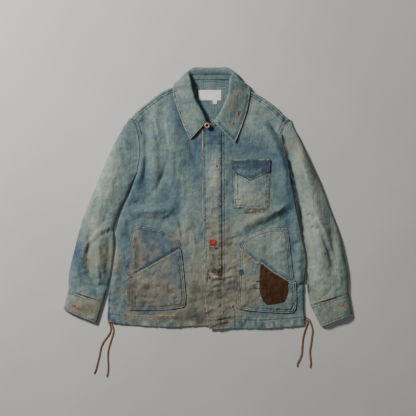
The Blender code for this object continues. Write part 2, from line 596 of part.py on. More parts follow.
def make_front_left():
    shoulder, side = sampled(SHOULDER_LEFT), sampled(SIDE_LEFT)
    shoulder_in = inset_run(shoulder, EDGE_ROLL, *SHOULDER_LEFT_ENDS)
    side_in = inset_run(side, EDGE_ROLL, *SIDE_LEFT_ENDS)
    hem = sampled(HEM_LEFT, 22)
    fly = sampled(FLY_EDGE, 30)
    neck = sampled(NECKLINE_LEFT, 18)
    outline = np.vstack([side_in, sampled(ARMHOLE_LEFT, 18)[1:-1], shoulder_in, neck[1:],
                         fly, hem[1:-1]])
    ring = closed_line(POCKET_LEFT)
    mouth = open_line(POCKET_LEFT_MOUTH)
    mouth[0] = ring[np.argmin(np.hypot(*(ring - mouth[0]).T))]
    mouth[-1] = ring[np.argmin(np.hypot(*(ring - mouth[-1]).T))]
    patch = closed_line(BROWN_PATCH)
    chest = closed_line(CHEST_POCKET)
    flap = closed_line(CHEST_FLAP)
    strip = np.vstack([open_line(STRIP_TOP, 21), open_line(STRIP_INNER, 40)[1:]])
    strip_left = open_line(STRIP_OUTER, 40)
    hem_line = sampled([(x, y + HEM_DEPTH + 2) for x, y in HEM_LEFT[1:]], 26)[:-1]
    seeds = panel_seeds(outline, BODY_FOLDS)
    lines = [(ring, True), (mouth, False), (patch, True), (chest, True), (flap, True),
             (strip, False), (strip_left, False), (hem_line, False)]
    plan, tris = triangulate(outline, lines, seeds)
    x, y = plan[:, 0], plan[:, 1]
    top = left_front_top(x, y)
    bottom = top - wall_depth(left_front_top, x, y, WALL)
    rolled = dict(zip(nearest(plan, shoulder_in), shoulder))
    rolled.update(zip(nearest(plan, side_in), side))
    Slab(plan, tris, top, bottom).build("front_left", DENIM_PALE, rolled=rolled, under=neck_lift)

    strip_ring = np.vstack([strip, strip_left[::-1][:-1]])
    strip_tris = subset(plan, tris, strip_ring)
    low = top + GAP
    Slab(plan, strip_tris, low + WALL, low).build("fly_placket", DIRTY)

    pouch_top = pocket_parts(plan, tris, top, POCKET_LEFT, mouth,
                             ("pocket_left_backing", "pocket_left_pouch"), (DENIM, DENIM_PALE))
    low = pouch_top + GAP
    Slab(plan, subset(plan, tris, patch), low + PATCH_WALL, low).build("brown_patch", BROWN)

    low = top + GAP + bulge(chest, x, y, CHEST_BULGE, 30)
    chest_top = low + POCKET_WALL
    Slab(plan, subset(plan, tris, chest), chest_top, low).build("chest_pocket", DENIM_PALE)
    low = top + 2 * GAP + POCKET_WALL + FLAP_LIFT
    Slab(plan, subset(plan, tris, flap), low + POCKET_WALL, low).build("chest_flap", INDIGO)


def tube(name, rings_out, rings_in, colour):
    """Open-ended cloth tube from matching outer and inner rings."""
    rings_out, rings_in = np.array(rings_out), np.array(rings_in)
    count, around = rings_out.shape[:2]
    points = np.vstack([rings_out.reshape(-1, 3), rings_in.reshape(-1, 3)])
    half = count * around
    faces = []
    for k in range(count - 1):
        for j in range(around):
            a, b = k * around + j, k * around + (j + 1) % around
            c, d = b + around, a + around
            faces.append((a, b, c, d))
            faces.append((half + d, half + c, half + b, half + a))
    for j in range(around):
        n = (j + 1) % around
        last = (count - 1) * around
        faces.append((j, half + j, half + n, n))
        faces.append((last + n, half + last + n, half + last + j, last + j))
    return add_mesh(name, points, faces, colour)


def thickened(ring, thickness):
    """Inner ring of a closed section, moved in by the wall."""
    before, after = np.roll(ring, 1, axis=0), np.roll(ring, -1, axis=0)
    first = (ring - before) / np.linalg.norm(ring - before, axis=1)[:, None]
    second = (after - ring) / np.linalg.norm(after - ring, axis=1)[:, None]
    normal = np.column_stack([-(first + second)[:, 1], (first + second)[:, 0]])
    normal /= np.linalg.norm(normal, axis=1)[:, None]
    lean = np.clip(np.einsum("ij,ij->i", normal, np.column_stack([-first[:, 1], first[:, 0]])), 0.6, 1)
    return ring + normal * (thickness / lean)[:, None]


SECTION_TOP = [0.02, 0.07, 0.15, 0.26, 0.38, 0.50, 0.62, 0.74, 0.85, 0.93, 0.98]
SECTION_LOW = [1.0, 0.965, 0.5, 0.035, 0.0]


def section(width, tops, side_z):
    """Flat-bottomed section: bottom from outside to inside, then over the top and back."""
    share = SECTION_LOW + SECTION_TOP
    height = [side_z, 0.0, 0.0, 0.0, side_z] + list(tops)
    return np.column_stack([np.array(share) * width, height])


def make_sleeve(name, outer, inner, armhole, folds, mirrored):
    """Sleeve tube; its first ring follows the armhole, a seam's gap away."""
    outer = spline(outer, SLEEVE_STATIONS)
    inner = spline(inner, SLEEVE_STATIONS)
    hole = sampled(armhole, 6)
    if mirrored:
        hole = hole[::-1]
    hole_length = np.linspace(1, 0, len(hole))
    rings_out, rings_in = [], []
    for k, (o, i) in enumerate(zip(outer, inner)):
        width = math.dist(o, i)
        blend = smooth_step(0, ARMHOLE_BLEND, float(k))
        fade = 1 - blend
        share = np.array(SECTION_LOW + SECTION_TOP)
        straight = i + (o - i) * share[:, None]
        on_hole = np.column_stack([np.interp(share, hole_length[::-1], hole[::-1, c]) for c in (0, 1)])
        chord = hole[-1] + (hole[0] - hole[-1]) * share[:, None]
        plan = straight + (on_hole - chord) * fade
        away = np.array([-(o - i)[1], (o - i)[0]]) / width * (1 if mirrored else -1)
        if k == 0:
            plan = plan - away * SLEEVE_SEAM
        x, y = plan[5:, 0], plan[5:, 1]
        across = np.array(SECTION_TOP)
        dome = (1 - np.abs(2 * across - 1) ** (3.2 + 7.0 * fade)) ** 0.55
        own = SLEEVE_SIDE_Z + (SLEEVE_LOFT - SLEEVE_SIDE_Z) * dome + fold_height(folds, x, y) * dome
        joined = front_top(x, y) * dome + SLEEVE_SIDE_Z * (1 - dome)
        tops = np.maximum(own * blend + joined * fade, LOWEST_TOP)
        flat = section(width, tops, SLEEVE_SIDE_Z)
        inside_ring = thickened(flat[::-1], WALL)[::-1]
        shift = plan - straight
        for ring, rings in ((flat, rings_out), (inside_ring, rings_in)):
            at = i + (o - i) * (ring[:, 0] / width)[:, None] + shift
            rings.append(np.column_stack([at, ring[:, 1]]))
    tube(name, rings_out, rings_in, DENIM_PALE)


def make_cuff(name, corners):
    top_outer, top_inner, low_inner, low_outer = (np.array(c, float) for c in corners)
    rings_out, rings_in = [], []
    for t in np.linspace(0, 1, 5):
        o = top_outer + (low_outer - top_outer) * t
        i = top_inner + (low_inner - top_inner) * t
        width = math.dist(o, i)
        across = np.array(SECTION_TOP)
        dome = (1 - np.abs(2 * across - 1) ** 3.6) ** 0.5
        wave = CUFF_WAVE * np.sin(across * 9 + 1.5 * t)
        tops = SLEEVE_SIDE_Z + (CUFF_LOFT + CUFF_FLARE * t - SLEEVE_SIDE_Z + wave) * dome
        flat = section(width, tops, SLEEVE_SIDE_Z)
        inside_ring = thickened(flat[::-1], CUFF_WALL)[::-1]
        for ring, rings in ((flat, rings_out), (inside_ring, rings_in)):
            at = i + (o - i) * (ring[:, 0] / width)[:, None]
            rings.append(np.column_stack([at, ring[:, 1]]))
    tube(name, rings_out, rings_in, DIRTY)


def grid_solid(name, grid, thickness, colour):
    """Closed wall of even thickness on both sides of a grid of points."""
    along_s = np.gradient(grid, axis=0)
    along_t = np.gradient(grid, axis=1)
    normal = np.cross(along_s, along_t)
    normal /= np.linalg.norm(normal, axis=2)[:, :, None]
    rows, columns = grid.shape[:2]
    points = np.vstack([(grid + normal * thickness / 2).reshape(-1, 3),
                        (grid - normal * thickness / 2).reshape(-1, 3)])
    half = rows * columns
    faces = []
    for r in range(rows - 1):
        for c in range(columns - 1):
            a = r * columns + c
            quad = (a, a + columns, a + columns + 1, a + 1)
            faces.append(quad)
            faces.append(tuple(half + k for k in reversed(quad)))
    border = [(0, c) for c in range(columns)] + [(r, columns - 1) for r in range(1, rows)]
    border += [(rows - 1, c) for c in range(columns - 2, -1, -1)] + [(r, 0) for r in range(rows - 2, 0, -1)]
    border = [r * columns + c for r, c in border]
    for a, b in zip(border, border[1:] + border[:1]):
        faces.append((a, b, half + b, half + a))
    return add_mesh(name, points, faces, colour)


def grid_from(stations, count_s, count_t):
    """Smooth grid through control sections that have the same number of points."""
    stations = np.array(stations, float)
    across = np.array([smooth_fixed(s, count_t) for s in stations])
    columns = [smooth_fixed(across[:, t], count_s) for t in range(count_t)]
    return np.array(columns).transpose(1, 0, 2)


def smooth_fixed(points, count):
    """Catmull-Rom through points with even steps of the parameter, so that ends and bends stay put."""
    p = np.array(points, float)
    p = np.vstack([2 * p[0] - p[1], p, 2 * p[-1] - p[-2]])
    spans = len(p) - 3
    out = []
    for u in np.linspace(0, spans, count):
        k = min(int(u), spans - 1)
        t = u - k
        a, b, c, d = p[k:k + 4]
        out.append(0.5 * (2 * b + (c - a) * t + (2 * a - 5 * b + 4 * c - d) * t * t
                          + (3 * b - a - 3 * c + d) * t ** 3))
    return np.array(out)


def leaf_section(station):
    """Leaf at the front: from the stand's top over the fold to the leaf's free edge."""
    _, fold, edge, height = station
    fold, edge = np.array(fold, float), np.array(edge, float)
    reach = np.linalg.norm(edge - fold)
    way = (edge - fold) / reach
    rest = float(left_front_top(*edge)) if edge[0] > 0 else float(front_top(*edge))
    rest += GAP + COLLAR_WALL / 2 + LEAF_CLEAR
    points = []
    for distance, z in ((5.0, height - 7.0), (0.0, height - 3.5), (4.5, height),
                        (0.32 * reach, rest + (height - rest) * 0.80),
                        (0.56 * reach, rest + (height - rest) * 0.48),
                        (0.80 * reach, rest + (height - rest) * 0.18), (reach, rest)):
        points.append((*(fold + way * distance), z))
    return points


def stand_section(station):
    neck, fold, edge, height = station
    neck, fold, edge = (np.array(p, float) for p in (neck, fold, edge))
    way = (edge - fold) / np.linalg.norm(edge - fold)
    top = fold + way * 5.0
    lean = (neck - top) / np.linalg.norm(neck - top)
    low_z = float(front_top(*neck)) - WALL / 2 + 0.4
    return [(*(neck - lean * 1.2), low_z), (*(top + lean * 1.0), height - 7.9)]


def make_collar():
    leaf = [leaf_section(s) for s in FRONT_STATIONS_RIGHT] + WRAP_RIGHT
    leaf += [[(x, y, z) for y, z in BACK_SECTION] for x in BACK_SECTION_X] + WRAP_LEFT
    leaf += [leaf_section(s) for s in FRONT_STATIONS_LEFT]
    grid = grid_from(leaf, 45, 12)
    x, y, z = grid.transpose(2, 0, 1)
    lying = left_front_top(x, y) + GAP + COLLAR_WALL / 2 + LEAF_CLEAR + 0.4
    over_front = (z > 9.0) & (y < 322) & (np.abs(x - 8) > 24)
    grid[:, :, 2] = np.where(over_front, np.maximum(z, lying), np.maximum(z, COLLAR_WALL / 2 + 0.02))
    grid_solid("collar_leaf", grid, COLLAR_WALL, DENIM)
    stand = [stand_section(s) for s in FRONT_STATIONS_RIGHT] + STAND_WRAP_RIGHT
    stand += [[(x, y, z) for y, z in STAND_BACK] for x in BACK_SECTION_X] + STAND_WRAP_LEFT
    stand += [stand_section(s) for s in FRONT_STATIONS_LEFT] + [STAND_TAB]
    across = []
    for low, high in stand:
        low, high = np.array(low, float), np.array(high, float)
        across.append([low + (high - low) * t for t in (0.0, 0.34, 0.67, 1.0)])
    grid = grid_from(across, 45, 4)
    grid_solid("collar_stand", grid, STAND_WALL, INDIGO)


def make_button():
    """Ring button with a sunk centre, turned about its own axis."""
    r = BUTTON_DIAMETER / 2
    profile = [(0, 2.0), (3.2, 2.0), (4.0, 3.8), (6.2, 4.8), (8.0, 3.9), (r, 2.4), (8.0, 1.2),
               (5.0, 0.8), (3.2, 0.6), (3.2, 0.0), (0, 0)]
    sides = 20
    points, rings = [], []
    for radius, z in profile:
        if radius == 0:
            rings.append([len(points)])
            points.append((*BUTTON_CENTRE, BUTTON_SEAT_Z + z))
            continue
        rings.append(list(range(len(points), len(points) + sides)))
        for k in range(sides):
            turn = 2 * math.pi * k / sides
            points.append((BUTTON_CENTRE[0] + radius * math.cos(turn),
                           BUTTON_CENTRE[1] + radius * math.sin(turn), BUTTON_SEAT_Z + z))
    faces = []
    for a, b in zip(rings[:-1], rings[1:]):
        for k in range(sides):
            n = (k + 1) % sides
            if len(a) == 1:
                faces.append((a[0], b[k], b[n]))
            elif len(b) == 1:
                faces.append((a[n], a[k], b[0]))
            else:
                faces.append((a[n], a[k], b[k], b[n]))
    add_mesh("button", points, faces, COPPER, roughness=0.4, metallic=0.9)


def make_labels():
    """Bare woven label and its tab, on the inside of the back."""
    low = NECK_LIFT + WALL + GAP
    for name, (x0, x1, y0, y1) in (("label", LABEL_BOX), ("size_tab", TAB_BOX)):
        corners = [(x0, y0), (x1, y0), (x1, y1), (x0, y1)]
        points = [(x, y, z) for z in (low, low + LABEL_WALL) for x, y in corners]
        faces = [(3, 2, 1, 0), (4, 5, 6, 7)] + [(k, (k + 1) % 4, (k + 1) % 4 + 4, k + 4) for k in range(4)]
        add_mesh(name, points, faces, LABEL_CLOTH)


def make_laces():
    for name, route in LACES.items():
        radius = LACE_DIAMETER / 2
        start_z = radius + 0.5
        heights = [start_z if k == 0 else radius + 0.1 for k in range(len(route))]
        path = spline([(x, y, z) for (x, y), z in zip(route, heights)], 18)
        curve = bpy.data.curves.new(name, "CURVE")
        curve.dimensions = "3D"
        curve.bevel_depth = radius * MM
        curve.bevel_resolution = 2
        curve.use_fill_caps = True
        run = curve.splines.new("POLY")
        run.points.add(len(path) - 1)
        for point, place in zip(run.points, path):
            point.co = (*(place * MM), 1.0)
        curve.materials.append(material(name, LEATHER, roughness=0.7))
        obj = bpy.data.objects.new(name, curve)
        bpy.context.scene.collection.objects.link(obj)


def main():
    for obj in list(bpy.data.objects):
        bpy.data.objects.remove(obj, do_unlink=True)
    make_back()
    make_front_right()
    make_front_left()
    make_sleeve("sleeve_right", SLEEVE_RIGHT_OUTER, SLEEVE_RIGHT_INNER, ARMHOLE_RIGHT,
                SLEEVE_RIGHT_FOLDS, mirrored=False)
    make_sleeve("sleeve_left", SLEEVE_LEFT_OUTER, SLEEVE_LEFT_INNER, ARMHOLE_LEFT,
                SLEEVE_LEFT_FOLDS, mirrored=True)
    make_cuff("cuff_right", CUFF_RIGHT)
    make_cuff("cuff_left", CUFF_LEFT)
    make_collar()
    make_button()
    make_labels()
    make_laces()


main()
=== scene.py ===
"""Looks of the patched work jacket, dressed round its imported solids.

Sizes are in millimetres here and become metres when a mesh is made. +X runs to the viewer's right,
+Y towards the collar and +Z up. Left and right in names are the wearer's. Places that were read off
the picture are in its pixels, and place() turns them into millimetres.
"""
import math

import bmesh
import bpy
import numpy as np
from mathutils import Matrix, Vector
from mathutils.bvhtree import BVHTree
from mathutils.geometry import delaunay_2d_cdt


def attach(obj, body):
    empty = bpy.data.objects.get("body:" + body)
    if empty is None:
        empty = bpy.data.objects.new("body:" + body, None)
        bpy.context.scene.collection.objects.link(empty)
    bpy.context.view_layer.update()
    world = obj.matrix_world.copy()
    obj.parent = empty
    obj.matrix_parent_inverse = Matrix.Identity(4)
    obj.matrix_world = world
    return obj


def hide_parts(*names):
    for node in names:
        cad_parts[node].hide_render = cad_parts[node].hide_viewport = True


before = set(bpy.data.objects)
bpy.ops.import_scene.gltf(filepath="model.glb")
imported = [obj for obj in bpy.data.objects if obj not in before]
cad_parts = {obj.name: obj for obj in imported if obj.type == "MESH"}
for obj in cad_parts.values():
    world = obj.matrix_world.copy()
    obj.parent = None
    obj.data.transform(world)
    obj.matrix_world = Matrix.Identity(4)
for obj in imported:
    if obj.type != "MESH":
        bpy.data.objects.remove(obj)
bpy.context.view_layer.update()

MM = 0.001
PIXEL = 2.9             # millimetres to a pixel of the picture
CENTRE_PX = (207.7, 198.0)

# Sizes repeated from the part's source
WALL, POCKET_WALL, PATCH_WALL, COLLAR_WALL, STAND_WALL = 1.6, 1.4, 1.0, 2.4, 2.0
GAP = 0.3
EDGE_ROLL = 5.6
BASE_TOP = 7.0
LOWEST_TOP = 2 * WALL + 0.9
NECK_LIFT = 3.0
FLY_STEP = WALL + 0.9
FLY_UNDERLAP_X = 24.0
HEM_DEPTH, HEM_EXTRA, HEM_FALL, HEM_WAVE = 24.0, 1.0, 1.4, 0.8
BACK_MARGIN = WALL + 0.45
SHEAR_LIMIT = 1.25

SHOULDER_RIGHT = [(-75, 333), (-95, 322), (-121, 313), (-144, 300), (-173, 278), (-202, 255), (-222, 232)]
ARMHOLE_RIGHT = [(-222, 232), (-206, 203), (-198, 168), (-195, 139), (-199, 104), (-205, 70)]
SIDE_RIGHT = [(-205, 70), (-225, 17), (-243, -23), (-260, -70), (-266, -104), (-267, -151),
              (-275, -209), (-283, -252), (-289, -296), (-291, -358)]
HEM_RIGHT = [(-291, -358), (-225, -365.5), (-160, -370.5), (-110, -372.5), (-47, -369.5), (22, -368.5)]
HEM_LEFT = [(4, -378.6), (40, -377), (82, -376), (123, -377), (181, -375.6), (239, -371.5), (282, -366.5)]
HEM_BACK = HEM_RIGHT + HEM_LEFT[2:]
SIDE_LEFT = [(282, -366.5), (278, -302), (279, -258), (285, -203), (285, -171), (276, -128),
             (268, -87), (259, -41), (250, 12), (239, 61)]
ARMHOLE_LEFT = [(239, 61), (236, 78), (227, 125), (218, 157), (214, 186), (223, 209), (239, 226)]
SHOULDER_LEFT = [(239, 226), (216, 244), (195, 265), (163, 289), (129, 308), (112, 316), (88, 330)]
NECKLINE_RIGHT = [(-75, 333), (-72, 299), (-60, 267), (-40, 235), (-14, 208), (0, 205)]
NECKLINE_LEFT = [(88, 330), (85, 293), (73, 261), (53, 229), (24, 208), (-8, 205)]
NECKLINE_BACK = [(88, 330), (60, 338), (30, 341), (0, 342), (-40, 340), (-75, 333)]
FLY_EDGE = [(-16, 199), (-16, 93), (-14, -41), (-10, -174), (-6, -307), (4, -378.6)]
SHOULDER_RIGHT_ENDS = ((3, -34), (16, -29))
SHOULDER_LEFT_ENDS = ((-16, -17), (-3, -37))
SIDE_RIGHT_ENDS = (None, (66, -7))
SIDE_LEFT_ENDS = ((-43, -5), None)

BODY_FOLDS = [
    ([(-147, 249), (-155, 139), (-146, 23)], 8.0, 17),
    ([(-181, 241), (-184, 139), (-178, 38), (-167, -6)], -4.0, 9),
    ([(-196, 205), (-186, 168), (-184, 130), (-193, 72), (-215, 20)], 6.0, 10),
    ([(-130, 75), (-144, 29), (-167, -3)], -5.0, 8),
    ([(-161, -55), (-132, -68), (-104, -55)], -5.0, 8),
    ([(-225, -36), (-165, -38), (-110, -34), (-98, -10)], 6.5, 11),
    ([(-228, -10), (-185, -22)], -3.5, 7),
    ([(-92, -38), (-80, -64), (-75, -95)], -5.0, 8),
    ([(-62, -25), (-55, -95)], 4.5, 13),
    ([(-57, 172), (-42, 130), (-32, 88)], -5.0, 8),
    ([(-88, 150), (-70, 90)], 3.0, 16),
    ([(-124, 284), (-147, 191)], -3.5, 13),
    ([(-97, 258), (-106, 110), (-86, -6)], 5.5, 22),
    ([(-191, 262), (-165, 223)], -3.5, 7),
    ([(-210, 240), (-190, 222)], 4.0, 10),
    ([(-275, -130), (-250, -150)], -3.0, 7),
    ([(-286, -250), (-260, -215)], -3.0, 8),
    ([(-262, -150), (-266, -215), (-276, -310)], 5.0, 12),
    ([(-240, -50), (-250, -115)], 5.0, 13),
    ([(143, 246), (172, 233), (189, 214), (202, 186)], -6.0, 8),
    ([(150, 276), (185, 256), (212, 228), (224, 212)], 5.5, 9),
    ([(138, 222), (165, 206), (192, 165), (212, 112), (226, 60), (240, 0)], 10.0, 14),
    ([(252, -40), (258, -100), (266, -150), (268, -280)], 6.0, 13),
    ([(246, -36), (200, -66), (157, -87), (104, -108)], -6.5, 8),
    ([(240, -12), (200, -38), (157, -55), (96, -84)], 7.0, 12),
    ([(270, -126), (246, -138)], -4.0, 7),
    ([(280, -246), (258, -262)], -4.0, 7),
    ([(44, 150), (48, 20)], 2.5, 16),
]
SLEEVE_RIGHT_FOLDS = [
    ([(-228, 196), (-235, 165), (-232, 135)], 6.0, 11),
    ([(-252, 150), (-240, 131), (-226, 116)], -4.0, 7),
    ([(-226, 116), (-203, 97)], -6.0, 8),
    ([(-207, 196), (-201, 160), (-204, 120)], -4.0, 8),
    ([(-262, 120), (-290, 40), (-318, -50)], 4.0, 26),
    ([(-336, -80), (-348, -178), (-341, -216), (-308, -293)], -6.5, 8),
    ([(-312, -90), (-314, -180), (-304, -240)], 6.0, 13),
    ([(-286, -112), (-284, -180), (-292, -236)], -5.5, 8),
    ([(-372, -150), (-380, -240)], 4.0, 14),
    ([(-316, -250), (-290, -262)], -5.0, 7),
    ([(-290, -92), (-270, -100)], -4.5, 7),
]
SLEEVE_LEFT_FOLDS = [
    ([(254, 172), (287, 79), (308, -23), (328, -138), (333, -241)], 9.0, 22),
    ([(228, 140), (247, 60), (268, -30), (286, -120), (300, -210), (298, -280)], -9.0, 12),
    ([(340, -4), (359, -87), (364, -190), (356, -232)], -3.6, 10),
    ([(287, -45), (312, -62)], -4.0, 8),
    ([(296, -84), (322, -94)], -4.0, 8),
    ([(376, -100), (388, -190), (390, -260)], 4.0, 12),
    ([(250, 205), (238, 190)], -3.0, 8),
]
SLEEVE_RIGHT_OUTER = [(-223, 233), (-234, 220), (-249, 197), (-280, 139), (-309, 70), (-338, 0),
                      (-365, -70), (-383, -139), (-399, -203), (-403, -238), (-403, -265)]
SLEEVE_RIGHT_INNER = [(-206, 69), (-228, 17), (-247, -23), (-264, -64), (-272, -93), (-270, -122),
                      (-271, -151), (-279, -209), (-287, -250), (-294, -275), (-301, -300)]
SLEEVE_LEFT_OUTER = [(240, 227), (252, 197), (265, 174), (297, 104), (329, 35), (355, -35),
                     (381, -104), (398, -174), (406, -220), (407, -273)]
SLEEVE_LEFT_INNER = [(240, 60), (254, 12), (263, -41), (272, -87), (280, -128), (289, -171),
                     (289, -203), (287, -240), (290, -278), (296, -308)]
CUFF_RIGHT = [(-403.1, -265.33), (-301.1, -300.33), (-321, -362), (-418, -321)]
CUFF_LEFT = [(407.1, -273.33), (296.1, -308.33), (327, -372), (418, -336)]
SLEEVE_LOFT, CUFF_LOFT, CUFF_FLARE, CUFF_WAVE = 15.0, 12.5, 1.5, 0.9
SLEEVE_STATIONS, ARMHOLE_BLEND = 25, 5.0
SLEEVE_SIDE_Z, SLEEVE_SEAM = 4.0, 0.7

POCKET_RIGHT = [(-208, -82), (-172, -86), (-128, -95), (-92, -112), (-81, -131), (-78, -150),
                (-72, -197), (-64, -281), (-66, -310), (-75, -316), (-117, -322), (-186, -324),
                (-226, -324), (-236, -312), (-234, -267), (-231, -236), (-237, -191), (-227, -160)]
POCKET_RIGHT_MOUTH = [(-232, -229), (-222, -227), (-150, -187), (-85, -150), (-78, -150)]
POCKET_LEFT = [(229, -87), (185, -88), (143, -99), (108, -119), (96, -140), (93, -155), (92, -199),
               (89, -244), (86, -303), (91, -321), (155, -329), (238, -332), (252, -325),
               (256, -310), (256, -273), (254, -244), (247, -230), (241, -173), (234, -113)]
POCKET_LEFT_MOUTH = [(254, -244), (232, -238), (191, -214), (155, -185), (140, -184), (100, -149),
                     (93, -145)]
BROWN_PATCH = [(155, -191), (188, -216), (229, -241), (232, -250), (229, -282), (220, -300),
               (173, -309), (161, -297), (152, -273), (150, -244), (152, -205)]
CHEST_POCKET = [(69, 109), (180, 110), (180, 60), (176, -31), (125, -32), (73, -29)]
CHEST_FLAP = [(68, 110), (181, 111), (179, 77), (125, 53), (71, 78)]
POUCH_BULGE, CHEST_BULGE, FLAP_LIFT = 2.6, 1.4, 1.5
STRIP = [(-12, 190), (39, 190), (40, -372), (6, -372), (-2, -307), (-6, -174), (-10, -41), (-12, 93)]

FRONT_STATIONS_RIGHT = [
    ((-15, 209), (-4, 220), (-50, 170), 15),
    ((-27, 222), (-9, 235), (-65, 199), 18),
    ((-47, 247), (-21, 258), (-77, 231), 21),
    ((-62, 274), (-36, 284), (-88, 261), 23),
    ((-70, 293), (-41, 302), (-95, 284), 24),
    ((-73, 313), (-46, 321), (-100, 308), 24),
]
FRONT_STATIONS_LEFT = [
    ((88, 313), (62, 319), (121, 302), 24),
    ((85, 296), (60, 303), (119, 288), 24),
    ((78, 272), (53, 282), (115, 262), 23),
    ((62, 243), (41, 255), (106, 232), 21),
    ((43, 221), (29, 235), (95, 200), 18),
    ((25, 210), (17, 222), (79, 160), 15),
]
WRAP_RIGHT = [
    [(-50, 335, 17), (-49, 338, 21), (-54, 339, 23.5), (-72, 337, 20), (-88, 332, 15.5),
     (-96, 328.5, 12.5), (-99, 325.5, 10)],
    [(-50, 341, 15), (-51, 344, 19), (-56, 345, 21), (-74, 342, 17), (-90, 336, 11.5),
     (-97, 331, 5.5), (-95, 326.5, 1.4)],
    [(-50, 347, 13), (-53, 351, 17), (-58, 352, 18.5), (-73, 346, 14.5), (-87, 337, 7),
     (-86, 331.5, 1.7), (-87, 313, 1.3)],
    [(-48, 355, 10), (-52, 361, 13), (-57, 363, 14), (-66, 359, 11.5), (-73, 351, 6),
     (-70, 345, 1.5), (-73, 313, 1.3)],
]
WRAP_LEFT = [
    [(71, 355, 10), (71, 361, 13), (75, 362, 14), (82, 358, 11.5), (89, 349, 6),
     (86, 343, 1.5), (89, 312, 1.3)],
    [(67, 344, 13), (66, 348, 17), (72, 349, 18.5), (88, 344, 14.5), (102, 334, 7),
     (100, 329, 1.7), (103, 312, 1.3)],
    [(66, 337, 15), (64, 341, 19), (70, 342, 21), (90, 339, 17), (107, 332, 11.5),
     (114, 326, 5.5), (112, 321.5, 1.4)],
    [(65, 330, 17), (63, 334, 21), (69, 335, 23.5), (88, 333, 20), (105, 327, 15.5),
     (114, 322.5, 12.5), (119, 318, 10)],
]
LEAF_CLEAR = 1.0
BACK_SECTION_X = [-40, -18, 6, 32, 58]
BACK_SECTION = [(357.5, 7.2), (363, 9.4), (369.5, 9.8), (376.4, 6.4), (372, 2.0), (351, 1.3), (318, 1.3)]
STAND_WRAP_RIGHT = [[(-71, 328, 9.5), (-56, 334, 15.6)], [(-68, 334, 8.6), (-55, 340, 13.8)],
                    [(-63, 338.5, 7.2), (-53, 346, 11.8)], [(-54, 342, 6.0), (-49, 353.5, 9.0)]]
STAND_WRAP_LEFT = [[(74, 341, 6.0), (72, 353.5, 9.0)], [(79, 337.5, 7.2), (71, 343, 11.8)],
                   [(83, 333, 8.6), (71, 336, 13.8)], [(86, 328, 9.5), (71, 329, 15.6)]]
STAND_BACK = [(343.2, 4.8), (356.4, 6.7)]
STAND_TAB = [(-6, 204, 15.5), (-6, 216, 15.5)]
BUTTON_CENTRE, BUTTON_SEAT_Z = (-1.5, 208.5), 16.5
LABEL_BOX = (-26, 39, 283, 312)
TAB_BOX = (15, 27, 272, 282.6)
LACE_WIDTH, LACE_THICK, LACE_DIAMETER = 4.0, 2.0, 3.6
LACES = {
    "lace_right_outer": [(-287, -359.6), (-281.5, -375), (-283, -388), (-291, -401), (-302, -416),
                         (-309.5, -433), (-313.5, -455), (-319, -478), (-323.5, -496), (-329, -509)],
    "lace_right_inner": [(-280.5, -360.3), (-275, -374), (-273.5, -387), (-278, -405), (-284, -425),
                         (-288.5, -444), (-289.5, -465), (-288.5, -487), (-289.5, -505), (-293, -518)],
    "lace_left_inner": [(282.8, -351), (290, -357), (288.5, -367), (282, -384), (277, -403),
                        (274, -425), (272.5, -446), (271, -455), (266, -468), (260, -479), (259, -489)],
    "lace_left_outer": [(282.2, -343.5), (294, -353), (299.5, -366), (303.5, -384), (301, -405),
                        (298, -427), (295.5, -444), (297, -463), (298.5, -479), (297, -492)],
}

# Plane geometry


def place(px, py):
    """Millimetres of a pixel of the picture."""
    return (px - CENTRE_PX[0]) * PIXEL, (CENTRE_PX[1] - py) * PIXEL


def smooth_step(low, high, value):
    t = np.clip((value - low) / (high - low), 0, 1)
    return t * t * (3 - 2 * t)


def spline(points, count):
    """Smooth curve through points (Catmull-Rom), with count points at even distances."""
    p = np.array(points, float)
    p = np.vstack([2 * p[0] - p[1], p, 2 * p[-1] - p[-2]])
    t = np.linspace(0, 1, 12, endpoint=False)[:, None]
    runs = []
    for a, b, c, d in zip(p[:-3], p[1:-2], p[2:-1], p[3:]):
        runs.append(0.5 * (2 * b + (c - a) * t + (2 * a - 5 * b + 4 * c - d) * t ** 2
                           + (3 * b - a - 3 * c + d) * t ** 3))
    dense = np.vstack(runs + [p[-2:-1]])
    length = np.concatenate([[0], np.cumsum(np.linalg.norm(np.diff(dense, axis=0), axis=1))])
    even = np.linspace(0, length[-1], count)
    return np.column_stack([np.interp(even, length, dense[:, k]) for k in range(p.shape[1])])


def sampled(points, step=3.0):
    length = np.linalg.norm(np.diff(np.array(points, float), axis=0), axis=1).sum()
    return spline(points, max(2, int(round(length / step)) + 1))


def nearest_on(path, x, y):
    """Distance of points from a polyline, and the share of its length at the nearest point."""
    path = np.array(path, float)
    spans = np.hypot(*np.diff(path, axis=0).T)
    best, share, done = np.full(np.shape(x), 1e9), np.zeros(np.shape(x)), 0.0
    for (ax, ay), (bx, by), span in zip(path[:-1], path[1:], spans):
        if span < 1e-6:
            continue
        t = np.clip(((x - ax) * (bx - ax) + (y - ay) * (by - ay)) / span ** 2, 0, 1)
        away = np.hypot(x - ax - t * (bx - ax), y - ay - t * (by - ay))
        share = np.where(away < best, (done + t * span) / spans.sum(), share)
        best = np.minimum(best, away)
        done += span
    return best, share


def distance_to(path, x, y):
    return nearest_on(path, x, y)[0]


def inside(polygon, x, y):
    hit = np.zeros(np.shape(x), bool)
    ring = np.array(polygon, float)
    for (ax, ay), (bx, by) in zip(ring, np.roll(ring, -1, axis=0)):
        crosses = (ay > y) != (by > y)
        rise = by - ay if by != ay else 1e-9
        hit ^= crosses & (x < (bx - ax) * (y - ay) / rise + ax)
    return hit


def moved_left(run, depth):
    """Run moved square to itself, to its left."""
    along = np.gradient(run, axis=0)
    along /= np.linalg.norm(along, axis=1)[:, None]
    return run + np.column_stack([-along[:, 1], along[:, 0]]) * depth


